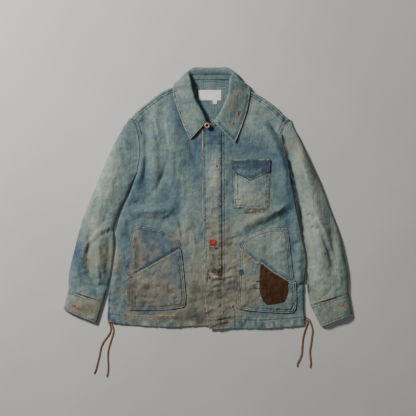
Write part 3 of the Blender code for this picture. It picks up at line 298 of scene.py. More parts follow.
def inset_run(run, depth, start_way, end_way):
    moved = moved_left(run, depth)
    for end, way in ((0, start_way), (-1, end_way)):
        if way is None:
            continue
        way = np.array(way, float)
        moved[end] = run[end] + way / np.linalg.norm(way) * depth
    return moved


def open_line(points, step=3.0):
    line = []
    for a, b in zip(points[:-1], points[1:]):
        a, b = np.array(a, float), np.array(b, float)
        parts = max(1, int(round(np.linalg.norm(b - a) / step)))
        line += [a + (b - a) * k / parts for k in range(parts)]
    return np.array(line + [np.array(points[-1], float)])


def closed_line(points, step=3.0, corner=42.0):
    """Closed outline: smooth curves between the corners that turn more than corner degrees."""
    ring = np.array(points, float)
    ahead, behind = np.roll(ring, -1, axis=0) - ring, ring - np.roll(ring, 1, axis=0)
    turn = np.degrees(np.arctan2(behind[:, 0] * ahead[:, 1] - behind[:, 1] * ahead[:, 0],
                                 (behind * ahead).sum(axis=1)))
    corners = [k for k in range(len(ring)) if abs(turn[k]) > corner] or [0]
    runs = []
    for a, b in zip(corners, corners[1:] + [corners[0] + len(ring)]):
        run = [ring[k % len(ring)] for k in range(a, b + 1)]
        runs.append(sampled(run, step)[:-1])
    return np.vstack(runs)


def ring_of(points):
    return np.vstack([points, points[:1]])


def shrunk(ring, depth):
    """Closed ring moved inwards by depth, with the points that fall outside that left out."""
    closed = np.vstack([ring[-2:], ring, ring[:2]])
    area = 0.5 * np.sum(ring[:, 0] * np.roll(ring[:, 1], -1) - np.roll(ring[:, 0], -1) * ring[:, 1])
    moved = moved_left(closed, depth if area > 0 else -depth)[2:-2]
    away = distance_to(ring_of(ring), moved[:, 0], moved[:, 1])
    return moved[(away > depth * 0.93) & inside(ring, moved[:, 0], moved[:, 1])]


def split_by(ring, mouth):
    """Part of a pocket outline below its mouth line."""
    start = int(np.argmin(np.hypot(*(ring - mouth[-1]).T)))
    end = int(np.argmin(np.hypot(*(ring - mouth[0]).T)))
    lower = [ring[start]]
    while start != end:
        start = (start + 1) % len(ring)
        lower.append(ring[start])
    return np.vstack([lower, mouth[1:-1]])


# Noise and the heights of the cloth

NOISE_SIZE = 97
TABLES = [np.random.default_rng(seed).random((NOISE_SIZE, NOISE_SIZE)) for seed in range(6)]


def noise(x, y, size, seed=0, stretch=1.0, turn=0.0):
    """Smooth noise from -1 to 1 with blobs of that size, stretched along a turned Y."""
    c, s = math.cos(math.radians(turn)), math.sin(math.radians(turn))
    u = (x * c + y * s) / size + 11.3 * (seed + 1)
    v = (y * c - x * s) / (size * stretch) + 7.7 * (seed + 1)
    i, j = np.floor(u).astype(int), np.floor(v).astype(int)
    fu, fv = u - i, v - j
    fu, fv = fu * fu * (3 - 2 * fu), fv * fv * (3 - 2 * fv)
    table = TABLES[seed % len(TABLES)]
    i0, j0, i1, j1 = i % NOISE_SIZE, j % NOISE_SIZE, (i + 1) % NOISE_SIZE, (j + 1) % NOISE_SIZE
    low = table[i0, j0] * (1 - fu) + table[i1, j0] * fu
    high = table[i0, j1] * (1 - fu) + table[i1, j1] * fu
    return (low * (1 - fv) + high * fv) * 2 - 1


def falloff(away, half_width):
    """One on a line, and near zero at twice the half width from it."""
    return np.exp(-(away / half_width) ** 2)


def creases(x, y, size, seed, stretch=1.0, turn=0.0):
    """Narrow soft ridges, about 0 between them."""
    a = noise(x, y, size, seed, stretch, turn) + 0.35 * noise(x, y, size * 0.45, seed + 1, stretch, turn)
    return falloff(a, 0.16)


def crumple(x, y, turn=0.0):
    """Small wrinkles of worn cloth: long ones along the grain, short ones low on the body."""
    low = smooth_step(80, -220, y)
    total = 0.80 * noise(x, y, 38, 0, 1.9, turn) + 0.36 * noise(x, y, 15, 1, 1.3, turn)
    total = total + 0.30 * noise(x, y, 8.5, 2, 1.1, turn) + 0.15 * noise(x, y, 5, 5)
    total = total - 1.1 * creases(x, y, 46, 3, 1.9, turn) * (0.5 + 0.5 * noise(x, y, 60, 4))
    total = total + low * (0.75 * noise(x, y, 17, 2, 0.8) - 0.85 * creases(x, y, 28, 1, 0.8, 20))
    return total


def rumple(x, y):
    """Close wrinkles of the most worn stretch, beside and below the fly."""
    px, py = x / PIXEL + CENTRE_PX[0], CENTRE_PX[1] - y / PIXEL
    zone = falloff(px - 221, 17) * smooth_step(262, 284, py)
    zone = zone + 0.7 * falloff(px - 229, 8) * smooth_step(215, 240, py) * smooth_step(300, 280, py)
    zone = zone + 0.45 * np.exp(-((px - 155) / 26) ** 2 - ((py - 290) / 16) ** 2)
    waves = 1.5 * noise(x, y, 24, 4, 0.42, 14) + 0.8 * noise(x, y, 10, 0, 0.7)
    waves = waves - 1.6 * creases(x, y, 24, 5, 0.6, 10)
    return zone * waves


def fold_height(folds, x, y):
    total = np.zeros(np.shape(x))
    for path, height, half_width in folds:
        away, share = nearest_on(path, x, y)
        ends = smooth_step(0, 0.25, share) * smooth_step(0, 0.25, 1 - share)
        total = total + height * (0.2 + 0.8 * ends) * falloff(away, half_width)
    return total


# Crisp creases of the worn cloth, in pixels of the picture: path, height and half width in millimetres
CREASES = [
    ([(150.8, 116.5), (154.8, 130.6), (158.9, 144.8)], -1.8, 4.5),
    ([(153, 115), (157, 129), (161, 143)], 1.4, 3.6),
    ([(162.9, 118.5), (165.9, 136.7), (167.9, 154.8)], -1.7, 4.2),
    ([(165, 118), (168.4, 136), (170.4, 155)], 1.4, 3.6),
    ([(171, 134.7), (169, 154.8), (162.9, 175), (156.9, 189)], -1.9, 4.8),
    ([(163, 171), (158, 188), (150, 199)], 2.4, 8.0),
    ([(249, 230), (263, 226), (277, 219), (290, 211)], 1.7, 6.5),
    ([(134.7, 211), (146.8, 216), (162.9, 217), (175, 211)], 2.0, 5.0),
    ([(179, 221), (182, 231.5), (183, 241.5)], -1.7, 4.4),
    ([(176, 218), (179, 228), (180.5, 240)], 1.5, 4.0), ([(126, 207), (134, 204), (141, 199)], -1.6, 4.2),
    ([(128, 222), (136, 219), (143, 218)], -1.3, 3.8), ([(187, 225), (189, 240), (188, 254)], -1.3, 4.2),
    ([(193, 232), (195, 246), (194, 262)], 1.2, 4.0), ([(146, 134), (145, 152), (147, 170)], -1.2, 4.4),
    ([(140, 124), (142, 134), (140, 144)], -1.4, 4.0), ([(182, 172), (184, 190), (183, 206)], 1.1, 4.6),
    ([(174, 150), (176, 172), (173, 190)], -1.1, 4.6),
    ([(243.5, 228), (259.7, 222), (275.8, 212), (288, 204)], 0.9, 5.6),
    ([(211, 283), (220, 280), (232, 277.5)], -2.0, 3.4), ([(210, 291), (219, 289), (230, 287)], 1.7, 3.4),
    ([(210, 299), (220, 298.5), (233, 298)], -2.0, 3.4),
    ([(219, 305), (223, 309), (225, 314)], -2.2, 3.2), ([(211, 313), (219, 315), (228, 312)], 1.7, 3.2),
    ([(211, 320.5), (221, 319.5), (236, 317.5)], -2.2, 3.0),
    ([(230, 262), (236, 266), (238, 272)], -1.7, 3.2), ([(227, 246), (233, 244), (238, 246)], -1.8, 3.0),
    ([(228, 239), (235, 238), (240, 242)], -1.7, 3.0), ([(228, 252), (234, 254), (237, 259)], 1.5, 3.0),
    ([(209, 250), (214, 251.5), (219, 248)], -2.0, 3.0),
    ([(207.5, 285), (208.5, 274), (211, 266)], -1.8, 2.8),
    ([(216, 262), (214, 256), (215, 252)], -1.7, 2.8), ([(226, 304), (231, 307), (234, 303)], 1.6, 3.2),
    ([(150, 284), (158, 286), (166, 284)], -1.4, 4.0), ([(140, 296), (150, 298), (160, 297)], -1.3, 4.0),
    ([(246, 283), (250, 280), (256, 281)], -1.5, 3.2),
    ([(248, 290), (253, 288.5), (259, 289)], -1.4, 3.2),
    ([(229, 240), (238, 236.5), (247, 236)], -1.5, 3.8),
    ([(262, 122), (272, 128), (280, 137)], -1.5, 4.4), ([(256, 130), (266, 136), (274, 145)], 1.3, 4.2),
    ([(278, 215), (286, 220), (290, 228)], -1.5, 4.2), ([(270, 214), (281, 208), (289, 200)], 1.4, 4.0),
    ([(286, 178), (288, 190), (291, 200)], -1.3, 4.0), ([(240, 214), (252, 217), (262, 216)], 1.2, 3.6),
    ([(231, 222), (233, 236), (232, 250)], -1.1, 3.6), ([(229, 262), (236, 258), (238, 250)], -1.4, 3.8),
    ([(227, 275), (234, 283), (236, 292)], -1.5, 3.8), ([(193, 284), (200, 290), (203, 299)], -1.2, 3.8),
    ([(190, 262), (197, 268), (202, 277)], -1.1, 3.6), ([(112, 262), (118, 268), (123, 280)], -1.4, 4.0),
    ([(111, 280), (117, 288), (120, 299)], 1.2, 3.8), ([(297, 262), (302, 272), (303, 286)], -1.2, 3.6),
]
SLEEVE_CREASES = [
    ([(125.6, 140.7), (131, 145), (136.7, 150.8)], -2.0, 4.5),
    ([(129.6, 165), (134, 162), (138.7, 160)], -2.0, 4.2),
    ([(83, 251.6), (89, 241.5), (98.4, 231.5), (108.5, 227.4)], 2.2, 5.0),
    ([(86, 255), (92, 245), (101, 236), (111, 231)], -2.2, 4.6),
    ([(84.3, 253.6), (86.3, 269.8), (93.3, 283.9)], -1.0, 4.6),
    ([(100.4, 263.7), (102.4, 277.8), (108.5, 287.9)], -2.0, 4.6),
    ([(97, 258), (98, 272), (102, 286)], 1.6, 4.2),
    ([(106.5, 233.5), (111, 234), (115.5, 231.5)], -1.8, 3.8),
    ([(91, 262), (94, 276), (99, 290)], -1.5, 4.4), ([(104, 246), (109, 256), (112, 268)], 1.6, 4.2),
    ([(109, 208), (105, 220), (97, 230)], -1.3, 5.0), ([(76, 262), (78, 276), (84, 288)], 1.2, 4.4),
    ([(118, 168), (112, 184), (106, 202)], 1.1, 6.0), ([(101, 190), (94, 208), (88, 226)], -1.1, 6.0),
    ([(310, 211), (320, 231), (328, 251.6), (332, 267.7)], -1.7, 4.6),
    ([(313, 209), (323, 229), (331, 250), (336, 268)], 1.4, 4.2),
    ([(317, 219), (329, 237), (334, 264)], 1.2, 4.6), ([(308, 223), (314, 243), (318, 272)], -1.5, 5.0),
    ([(303, 262), (309, 275), (312, 290)], 1.4, 4.2), ([(319, 276), (326, 283), (335, 286)], -1.5, 4.2),
    ([(294, 150), (303, 166), (309, 184)], 1.2, 5.0), ([(326, 208), (333, 224), (338, 244)], -1.1, 5.0),
    ([(339, 262), (342, 276), (342, 288)], -1.3, 4.4), ([(301, 196), (307, 212), (310, 230)], -1.3, 4.8),
]


def in_millimetres(table):
    return [([place(*p) for p in path], height, half_width) for path, height, half_width in table]


def neck_lift(x, y):
    reach = np.hypot((x - 8) / 160.0, (y - 372) / 125.0)
    return NECK_LIFT * (1 - smooth_step(0.86, 1.12, reach))


def front_plain(x, y):
    """Upper face of the fronts as the solids have it."""
    hem = distance_to(HEM_RIGHT[:-1] + HEM_LEFT[1:], x, y)
    level = BASE_TOP - HEM_FALL * (1 - smooth_step(4, 60, hem))
    folds = fold_height(BODY_FOLDS, x, y) * smooth_step(-4, 50, hem)
    turned = HEM_EXTRA * (1 - smooth_step(HEM_DEPTH, HEM_DEPTH + 3, hem))
    waves = HEM_WAVE * np.sin(x / 23.0 + 0.6 * np.sin(y / 60.0)) * (1 - smooth_step(20, 90, hem))
    height = level + folds + turned + waves
    height = LOWEST_TOP + np.logaddexp(0, (height - LOWEST_TOP) * 1.6) / 1.6
    return height + neck_lift(x, y)


def left_plain(x, y):
    over_fly = 1 - smooth_step(FLY_UNDERLAP_X + 2, FLY_UNDERLAP_X + 34, x)
    return front_plain(x, y) + FLY_STEP * over_fly


PUCKER = 7.0            # spacing of the puckers along a seam


def seam_relief(seams, x, y, seed=3):
    """Stitched grooves with puckered cloth beside them."""
    total = np.zeros(np.shape(x))
    for path, depth in seams:
        away, share = nearest_on(path, x, y)
        length = np.hypot(*np.diff(np.array(path, float), axis=0).T).sum()
        along = share * length
        pucker = noise(along, np.zeros(np.shape(x)) + depth * 31, PUCKER, seed)
        total = total - depth * falloff(away, 1.5) + 0.9 * depth * pucker * falloff(away, 5.5)
    return total


# Stitched lines of the fronts, in millimetres

SHOULDER_R, SHOULDER_L = sampled(SHOULDER_RIGHT), sampled(SHOULDER_LEFT)
ARM_R, ARM_L = sampled(ARMHOLE_RIGHT), sampled(ARMHOLE_LEFT)
HEM_R, HEM_L = sampled(HEM_RIGHT), sampled(HEM_LEFT)
RING_R, RING_L = closed_line(POCKET_RIGHT), closed_line(POCKET_LEFT)


def mouth_of(points, ring):
    mouth = open_line(points)
    mouth[0] = ring[np.argmin(np.hypot(*(ring - mouth[0]).T))]
    mouth[-1] = ring[np.argmin(np.hypot(*(ring - mouth[-1]).T))]
    return mouth


MOUTH_R, MOUTH_L = mouth_of(POCKET_RIGHT_MOUTH, RING_R), mouth_of(POCKET_LEFT_MOUTH, RING_L)
LOWER_R, LOWER_L = split_by(RING_R, MOUTH_R), split_by(RING_L, MOUTH_L)
CHEST, FLAP = closed_line(CHEST_POCKET), closed_line(CHEST_FLAP)
BROWN = closed_line(BROWN_PATCH)
STRIP_RING = closed_line(STRIP, corner=20)

SEAMS_RIGHT = [
    (moved_left(SHOULDER_R, 8.5), 0.7), (moved_left(SHOULDER_R, 14.5)[4:], 0.7),
    (moved_left(ARM_R, 3.0)[2:22], 0.6), (moved_left(ARM_R, 9.5)[4:20], 0.6),
    (HEM_R + [0, HEM_DEPTH], 0.8),
    (open_line([place(111.5, 268), place(110.5, 290), place(109.5, 318)]), 0.4),
]
SEAMS_LEFT = [
    (moved_left(SHOULDER_L, 8.5), 0.7), (moved_left(SHOULDER_L, 14.5)[:-4], 0.7),
    (moved_left(ARM_L, 3.0)[-18:-2], 0.6), (moved_left(ARM_L, 9.5)[-16:-4], 0.6),
    (HEM_L + [0, HEM_DEPTH], 0.8),
    (open_line([(40, 188), (40.5, 60), (41.5, -100), (42.5, -225)]), 1.0),
    (open_line([(47.5, 188), (48, 60), (49, -100), (50, -225)]), 0.8),
    (open_line([place(232.6, 303), place(235.2, 312), place(235.4, 329)]), 1.3),
    (open_line([place(234.5, 310), place(240.5, 316.5)]), 0.9),
    (open_line([(-11, 156), (48, 157)]), 0.5),
]


# Painted shade and shadows beside pieces' edges and in creases (round and beside the pockets, along the hem's
# turned edge, beside the placket strip and in the tear): path, width and amount
PAINTED_SHADE_RIGHT = [
    (ring_of(RING_R), 2.8, 0.78), (HEM_R + [0, HEM_DEPTH - 0.6], 1.9, 0.80),
    (moved_left(sampled([(-92, -112), (-81, -131), (-78, -150), (-72, -197), (-64, -281), (-66, -310),
                         (-75, -316), (-117, -322), (-186, -324), (-226, -324)]), 1.6), 2.0, 1.0),
]
PAINTED_SHADE_LEFT = [
    (ring_of(RING_L), 2.8, 0.78), (HEM_L + [0, HEM_DEPTH - 0.6], 1.9, 0.72),
    (moved_left(sampled([(89, -244), (86, -303), (91, -321), (155, -329), (238, -332), (252, -325),
                         (256, -310), (256, -273), (254, -244), (247, -230), (241, -173), (234, -113)]),
                -1.6), 2.0, 1.0),
    (ring_of(CHEST), 2.5, 0.70),
    (moved_left(open_line([(180, 110), (180, 60), (176, -31), (125, -32), (73, -29)]), 1.3), 1.6, 0.7),
    (open_line([(41.2, 186), (41.4, 60), (42.2, -100), (43.2, -225)]), 1.5, 1.0),
    (open_line([place(243, 211), place(258, 210.3), place(274, 212.5)]), 2.4, 0.62),
]

STRIP_EDGE_X, BARTACK_Y = 40.0, -225.0
FINE_BODY, FINE_SLEEVES = in_millimetres(CREASES), in_millimetres(SLEEVE_CREASES)


def rope(x, y, hem):
    """Slanted ridges of a turned and twisted hem."""
    band = smooth_step(HEM_DEPTH, HEM_DEPTH - 4, hem)
    return band * (0.55 * np.sin((x + 0.5 * y) / 2.6 + 1.3 * noise(x, y, 30, 1)) + 0.5 * noise(x, y, 11, 3))


def front_height(x, y):
    worn_in = crumple(x, y) + rumple(x, y) + fold_height(FINE_BODY, x, y)
    return front_plain(x, y) + worn_in + seam_relief(SEAMS_RIGHT, x, y) + rope(x, y, distance_to(HEM_R, x, y))


def left_height(x, y):
    fly = falloff(x - 15, 26) * smooth_step(180, 60, y)
    puckers = 1.3 * fly * noise(x, y, 25, 4, 0.34, 8) - 0.9 * fly * creases(x, y, 24, 2, 0.4, 5)
    beside = (x > STRIP_EDGE_X) * (1 - smooth_step(STRIP_EDGE_X, STRIP_EDGE_X + 18, x))
    beside = beside * smooth_step(BARTACK_Y + 4, BARTACK_Y - 12, y)
    worn_in = crumple(x, y) + rumple(x, y) + fold_height(FINE_BODY, x, y) + puckers
    return left_plain(x, y) + worn_in + seam_relief(SEAMS_LEFT, x, y) + 1.7 * beside \
        + rope(x, y, distance_to(HEM_L, x, y))


# Colour of the cloth, painted: pixel x, y, half widths, turn in degrees, amount. Fading comes
# first, with the leaf's own, then the soil in wide clouds and the small dark smudges, two of them painted
# crease shade, on top of it

FADE = [
    (181, 117, 9, 24, 14, -0.34), (196, 158, 9, 36, 8, -0.20), (152, 112, 13, 16, 20, 0.14),
    (160, 140, 9, 26, 4, 0.16), (138, 192, 13, 28, -16, -0.26), (168, 206, 20, 14, 0, -0.14),
    (190, 212, 9, 34, 0, 0.16), (121, 232, 8, 24, 0, -0.06), (120, 312, 16, 12, 0, -0.02),
    (118, 262, 6, 26, 6, 0.12), (103, 170, 22, 46, 24, 0.26), (76, 254, 8, 26, 10, -0.34),
    (92, 228, 12, 22, 16, 0.20), (122, 136, 6, 10, 0, -0.12), (256, 112, 20, 15, 0, 0.24),
    (281, 160, 12, 26, -18, -0.24), (290, 197, 9, 24, -10, -0.28), (240, 146, 14, 9, 0, -0.14),
    (243, 194, 14, 16, 0, 0.16), (301, 150, 9, 28, -22, 0.22), (317, 206, 11, 42, -14, 0.26),
    (342, 226, 8, 34, -16, 0.0), (322, 268, 12, 22, 0, 0.10), (211, 138, 9, 14, 0, -0.36),
    (213, 176, 8, 18, 0, 0.20), (148, 232, 14, 8, 0, -0.08), (264, 236, 18, 16, 0, 0.16),
    (276, 262, 9, 26, 0, 0.16), (290, 245, 5, 20, 0, -0.20), (196, 250, 8, 26, 0, 0.08),
    (280, 133, 8, 14, -30, 0.12), (330, 300, 14, 10, 0, 0.10), (224, 300, 12, 22, 0, 0.16),
    (288, 318, 20, 8, 0, 0.12), (145, 165, 9, 22, 10, 0.10), (235, 235, 8, 20, 0, 0.10),
    (160, 318, 30, 6, 0, 0.08), (127, 250, 5, 22, 4, -0.10), (150, 262, 20, 16, 0, -0.24),
    (148, 294, 22, 13, 0, -0.34), (258, 150, 22, 8, 0, -0.10), (146, 156, 30, 42, 0, -0.08),
    (268, 222, 16, 10, 0, -0.10), (211, 134, 8, 10, 0, -0.14), (160, 316, 30, 5, 0, -0.34),
    (180, 310, 14, 14, 0, -0.12), (226, 322, 12, 5, 0, -0.14),
]
LEAF_FADE = [
    (178, 87, 14, 12, 30, 0.10), (190, 116, 12, 20, -18, -0.02), (210, 69.5, 24, 3.2, 0, -0.16),
    (212, 74.5, 20, 2.4, 0, -0.26), (236, 92, 10, 16, 0, -0.02), (226, 128, 10, 12, 20, 0.06),
    (240, 82, 7, 7, 0, -0.08), (201, 108, 4, 18, -22, 0.08),
]
DIRT = [
    (215, 186, 8, 18, 0, 0.32), (214, 224, 8, 20, 0, 0.52), (214, 262, 10, 26, 0, 0.74),
    (213, 304, 12, 24, 0, 0.95), (232, 290, 11, 32, 0, 0.90), (229, 240, 7, 20, 0, 0.66),
    (194, 274, 11, 38, 0, 0.72), (188, 304, 18, 16, 0, 0.62), (150, 290, 22, 14, 8, 0.74),
    (163, 264, 18, 14, -24, 0.36), (137, 250, 6, 24, 8, 0.66), (133, 292, 6, 20, 0, 0.76),
    (116, 262, 8, 18, 10, 0.58), (250, 292, 11, 18, 0, 0.80), (246, 252, 7, 18, 0, 0.50),
    (252, 219, 18, 8, 12, 0.58), (246, 200, 11, 10, 0, 0.42), (262, 202, 8, 9, 0, 0.34),
    (234, 100, 7, 17, -16, 0.52), (240, 118, 6, 10, -10, 0.34), (101, 246, 10, 22, 16, 0.54),
    (88, 258, 5, 18, 8, 0.52), (90, 308, 12, 8, 20, 0.85), (334, 240, 4, 36, -8, 0.50),
    (290, 144, 7, 13, -26, 0.52), (302, 162, 7, 26, -18, 0.44), (308, 252, 6, 32, -6, 0.46),
    (318, 296, 11, 7, 0, 0.56), (157, 186, 6, 22, 12, 0.28), (150, 150, 5, 26, 8, 0.26),
    (174, 232, 10, 16, 0, 0.36), (262, 262, 9, 14, 0, 0.34), (262, 110, 8, 8, 0, 0.22),
    (244, 132, 7, 10, 0, 0.20), (100, 262, 9, 12, 0, 0.38), (164, 86, 12, 9, 0, 0.26),
    (214, 326, 14, 6, 0, 0.66), (170, 318, 36, 8, 0, 0.74), (276, 300, 16, 6, 0, 0.42),
    (78, 306, 12, 6, 20, 0.45), (338, 306, 12, 6, -14, 0.40), (128, 316, 12, 8, 0, 0.38),
    (116, 296, 8, 18, 0, 0.30), (270, 320, 26, 6, 0, 0.34), (148, 244, 14, 14, 0, 0.24),
    (276, 232, 12, 10, 0, 0.26), (120, 150, 10, 20, 24, 0.20), (186, 236, 12, 14, 0, 0.34),
    (210, 69, 24, 3.6, 0, 0.45),
]
# Small dark smudges of soil; the last two entries are painted shade along two creases of the collar leaf
SMUDGES_AND_CREASE_SHADE = [
    (146, 286, 9, 6, 8, 0.34), (170, 292, 6, 10, 0, 0.30), (131, 290, 4, 16, 0, 0.34),
    (156, 306, 26, 2.4, 0, 0.30), (135, 268, 5, 6, 0, 0.32), (168, 256, 8, 5, -20, 0.24),
    (136, 245, 2.5, 20, 0, 0.30), (196, 318, 8, 5, 0, 0.32), (160, 219, 16, 3, -4, 0.24),
    (181, 229, 3, 9, 0, 0.26), (197, 288, 5, 8, 0, 0.26), (229, 238, 5, 8, 0, 0.24),
    (236, 284, 3, 9, 0, 0.30), (255, 285, 5, 10, 0, 0.16), (258, 232, 14, 3, 8, 0.20),
    (88, 256, 4, 15, 4, 0.20), (97, 299, 6, 4, 20, 0.26), (147, 125, 3, 9, -20, 0.16),
    (275, 122, 6, 8, -30, 0.22), (150, 318, 30, 3, 0, 0.18), (230, 318, 5, 6, 0, 0.26),
    (210, 76, 20, 3, 0, 0.20), (176, 318, 12, 4, 0, 0.20), (238, 88, 5, 6, -30, 0.28),
    (229, 108, 4, 9, -10, 0.26), (245, 100, 4, 8, -16, 0.20), (188.5, 103.1, 7.5, 0.9, 9, 0.5),
    (223, 122.3, 6, 0.9, 14, 0.5),
]


def spots(table, x, y):
    total = np.zeros(np.shape(x))
    for px, py, rx, ry, turn, amount in table:
        cx, cy = place(px, py)
        c, s = math.cos(math.radians(turn)), math.sin(math.radians(turn))
        u = ((x - cx) * c + (y - cy) * s) / (rx * PIXEL)
        v = ((y - cy) * c - (x - cx) * s) / (ry * PIXEL)
        total = total + amount * np.exp(-(u * u + v * v))
    return total


def paint(x, y, seams=(), edges=(), fade=0.52, dirt=0.0, pale=(), painted_shade=(), turn=0.0, table=FADE):
    """Colour controls at points: fade, dirt, navy of the seams, worn threads of the edges.

    Seams get dark ink in short dashes between bleached puckers, edges are rubbed in patches, pale lists
    lines bleached along a ridge (or left blue, below 0) and the shade list holds lines of painted shade
    and shadow beside edges and in creases. The navy control carries that painted shade as well as the
    seams' ink, and takes it towards near black.
    """
    ragged = noise(x, y, 16, 2) * 0.06 + noise(x, y, 7, 4) * 0.09
    raised = crumple(x, y, turn) + rumple(x, y) + fold_height(FINE_BODY + FINE_SLEEVES, x, y)
    faded = fade + spots(table, x, y) + ragged + 0.065 * raised
    soiled = dirt + spots(DIRT, x, y) + 0.8 * ragged - 0.075 * raised
    # Soil smudges and two painted crease shadows, added to the dirt control
    smudged_and_shaded = np.clip(spots(SMUDGES_AND_CREASE_SHADE, x, y) * (1 + 0.9 * noise(x, y, 15, 5)), 0, 0.5)
    navy, worn = np.zeros(np.shape(x)), np.zeros(np.shape(x))
    for path, depth in seams:
        away, share = nearest_on(path, x, y)
        along = share * np.hypot(*np.diff(np.array(path, float), axis=0).T).sum()
        dash = np.clip(0.62 + 0.75 * noise(along, np.zeros(np.shape(x)) + 17 * depth, 4.6, 1), 0, 1)
        ink = min(0.80, 0.50 + 0.60 * depth)
        navy = np.maximum(navy, ink * dash * falloff(away, 2.1))
        navy = np.maximum(navy, 0.42 * falloff(away, 5.5))
        faded = faded + 0.12 * (1.3 - dash) * falloff(away - 3.2, 1.6)
    for path, width, amount in edges:
        away = distance_to(path, x, y)
        patchy = np.clip(0.62 + 0.7 * noise(x, y, 8, 0) + 0.5 * noise(x, y, 22, 3), 0, 1)
        worn = np.maximum(worn, amount * patchy * falloff(away, width))
    for path, width, amount in pale:
        away = distance_to(path, x, y)
        line = (0.85 + 0.4 * noise(x, y, 8, 3)) * falloff(away, width)
        faded = faded + amount * line
        soiled = soiled + min(0, 1.6 * amount) * line
    # Painted shade and shadow: darkens the navy control towards near black and hides the rubbed threads
    for path, width, amount in painted_shade:
        away = distance_to(path, x, y)
        navy = np.maximum(navy, amount * (0.9 + 0.3 * noise(x, y, 12, 1)) * falloff(away, width))
        worn = worn * (1 - amount * falloff(away, width))
    return np.column_stack([np.clip(faded, 0, 1), np.clip(soiled, 0, 1) + smudged_and_shaded,
                            np.clip(navy, 0, 1), np.clip(worn, 0, 1)])


# Meshes

solids = []             # points and faces of the cloth, for dropping stitches onto it


def add_mesh(name, points, faces, mat, colours=None, sharp=48, keep=True):
    mesh = bpy.data.meshes.new(name)
    points = np.asarray(points, float) * MM
    mesh.from_pydata(points.tolist(), [], faces)
    solid = bmesh.new()
    solid.from_mesh(mesh)
    bmesh.ops.recalc_face_normals(solid, faces=solid.faces)
    solid.to_mesh(mesh)
    solid.free()
    mesh.materials.append(mat)
    mesh.shade_smooth()
    mesh.set_sharp_from_angle(angle=math.radians(sharp))
    if colours is not None:
        layer = mesh.attributes.new("paint", "FLOAT_COLOR", "POINT")
        layer.data.foreach_set("color", np.asarray(colours, np.float32).ravel())
    obj = bpy.data.objects.new(name, mesh)
    bpy.context.scene.collection.objects.link(obj)
    if keep:
        solids.append((points, faces))
    return obj


def finish_piece(obj, slot, *nodes):
    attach(obj, "root")
    if nodes:
        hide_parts(*nodes)
    return obj


def triangulate(outline, lines, spacing):
    """Plan points and triangles of an outline, closer together along the seams."""
    low, high = outline.min(axis=0), outline.max(axis=0)
    rows = np.arange(low[1] + spacing / 2, high[1], spacing * 0.87)
    grid = np.array([(x, y) for k, y in enumerate(rows)
                     for x in np.arange(low[0] + (k % 2) * spacing / 2, high[0], spacing)])
    grid = grid[inside(outline, grid[:, 0], grid[:, 1])]
    keep = distance_to(ring_of(outline), grid[:, 0], grid[:, 1]) > spacing * 0.55
    extra = []
    for line in lines:
        keep &= distance_to(line, grid[:, 0], grid[:, 1]) > 4.0
        for offset in (-2.8, -1.2, 0.0, 1.2, 2.8):
            extra.append(moved_left(np.asarray(line), offset))
    points = [grid[keep]]
    if extra:
        extra = np.vstack(extra)
        near = distance_to(ring_of(outline), extra[:, 0], extra[:, 1]) > 1.2
        points.append(extra[near & inside(outline, extra[:, 0], extra[:, 1])])
    everything = np.vstack([outline] + points)
    edges = [(k, (k + 1) % len(outline)) for k in range(len(outline))]
    verts, _, tris, _, _, _ = delaunay_2d_cdt([tuple(p) for p in everything], edges, [], 0, 1e-4, False)
    plan = np.array([tuple(v) for v in verts])
    tris = np.array(tris)
    centre = plan[tris].mean(axis=1)
    tris = tris[inside(outline, centre[:, 0], centre[:, 1])]
    a, b, c = (plan[tris[:, k]] for k in range(3))
    area = (b[:, 0] - a[:, 0]) * (c[:, 1] - a[:, 1]) - (b[:, 1] - a[:, 1]) * (c[:, 0] - a[:, 0])
    tris[area < 0] = tris[area < 0][:, ::-1]
    tris = tris[abs(area) > 1e-3]
    used, index = np.unique(tris, return_inverse=True)
    return plan[used], index.reshape(-1, 3)


def rim_of(tris):
    """Directed edges that bound a set of triangles."""
    pairs = {(int(t[a]), int(t[b])) for t in tris for a, b in ((0, 1), (1, 2), (2, 0))}
    return [(a, b) for a, b in pairs if (b, a) not in pairs]


ROLL_ANGLES = np.radians([18, 36, 54, 72, 90])


def roll_chain(points, plan_in, outer, top):
    """Section of a rolled edge, from its top over the edge to its inside."""
    low = float(neck_lift(outer[0], outer[1]))
    drop = min(EDGE_ROLL, 0.72 * (top - low))
    wall = WALL / EDGE_ROLL
    section = [(1 - math.sin(a), top - drop * (1 - math.cos(a))) for a in ROLL_ANGLES]
    section += [(0.0, low), (wall, low), (wall, top - max(0.9 * drop, WALL + 0.4)),
                (wall + 0.30 * (1 - wall), top - WALL - 0.22 * (drop - WALL))]
    chain = []
    for share, z in section:
        chain.append(len(points))
        points.append((*(outer + (plan_in - outer) * share), z))
    return chain


def shell(name, plan, tris, top, bottom, mat, colours, rolled=None):
    """Thin closed cloth on plan triangles. rolled maps a rim point to the edge outside it."""
    count = len(plan)
    points = [(*p, z) for p, z in zip(plan, top)] + [(*p, z) for p, z in zip(plan, bottom)]
    faces = [tuple(int(k) for k in t) for t in tris]
    faces += [tuple(int(k) + count for k in t[::-1]) for t in tris]
    chains = {}
    for k, outer in (rolled or {}).items():
        chains[k] = [k] + roll_chain(points, plan[k], np.array(outer), top[k]) + [k + count]
    for a, b in rim_of(tris):
        first, second = chains.get(a), chains.get(b)
        if first and second:
            faces += [(first[j + 1], second[j + 1], second[j], first[j]) for j in range(len(first) - 1)]
            continue
        faces.append((a + count, b + count, b, a))
        faces += [tuple(first)] if first else []
        faces += [tuple(reversed(second))] if second else []
    both = np.vstack([colours, colours])
    if len(points) > 2 * count:
        extra = np.array(points[2 * count:])
        near = [int(np.argmin(np.hypot(plan[:, 0] - p[0], plan[:, 1] - p[1]))) for p in extra]
        both = np.vstack([both, colours[near]])
    return add_mesh(name, np.array(points), faces, mat, both)


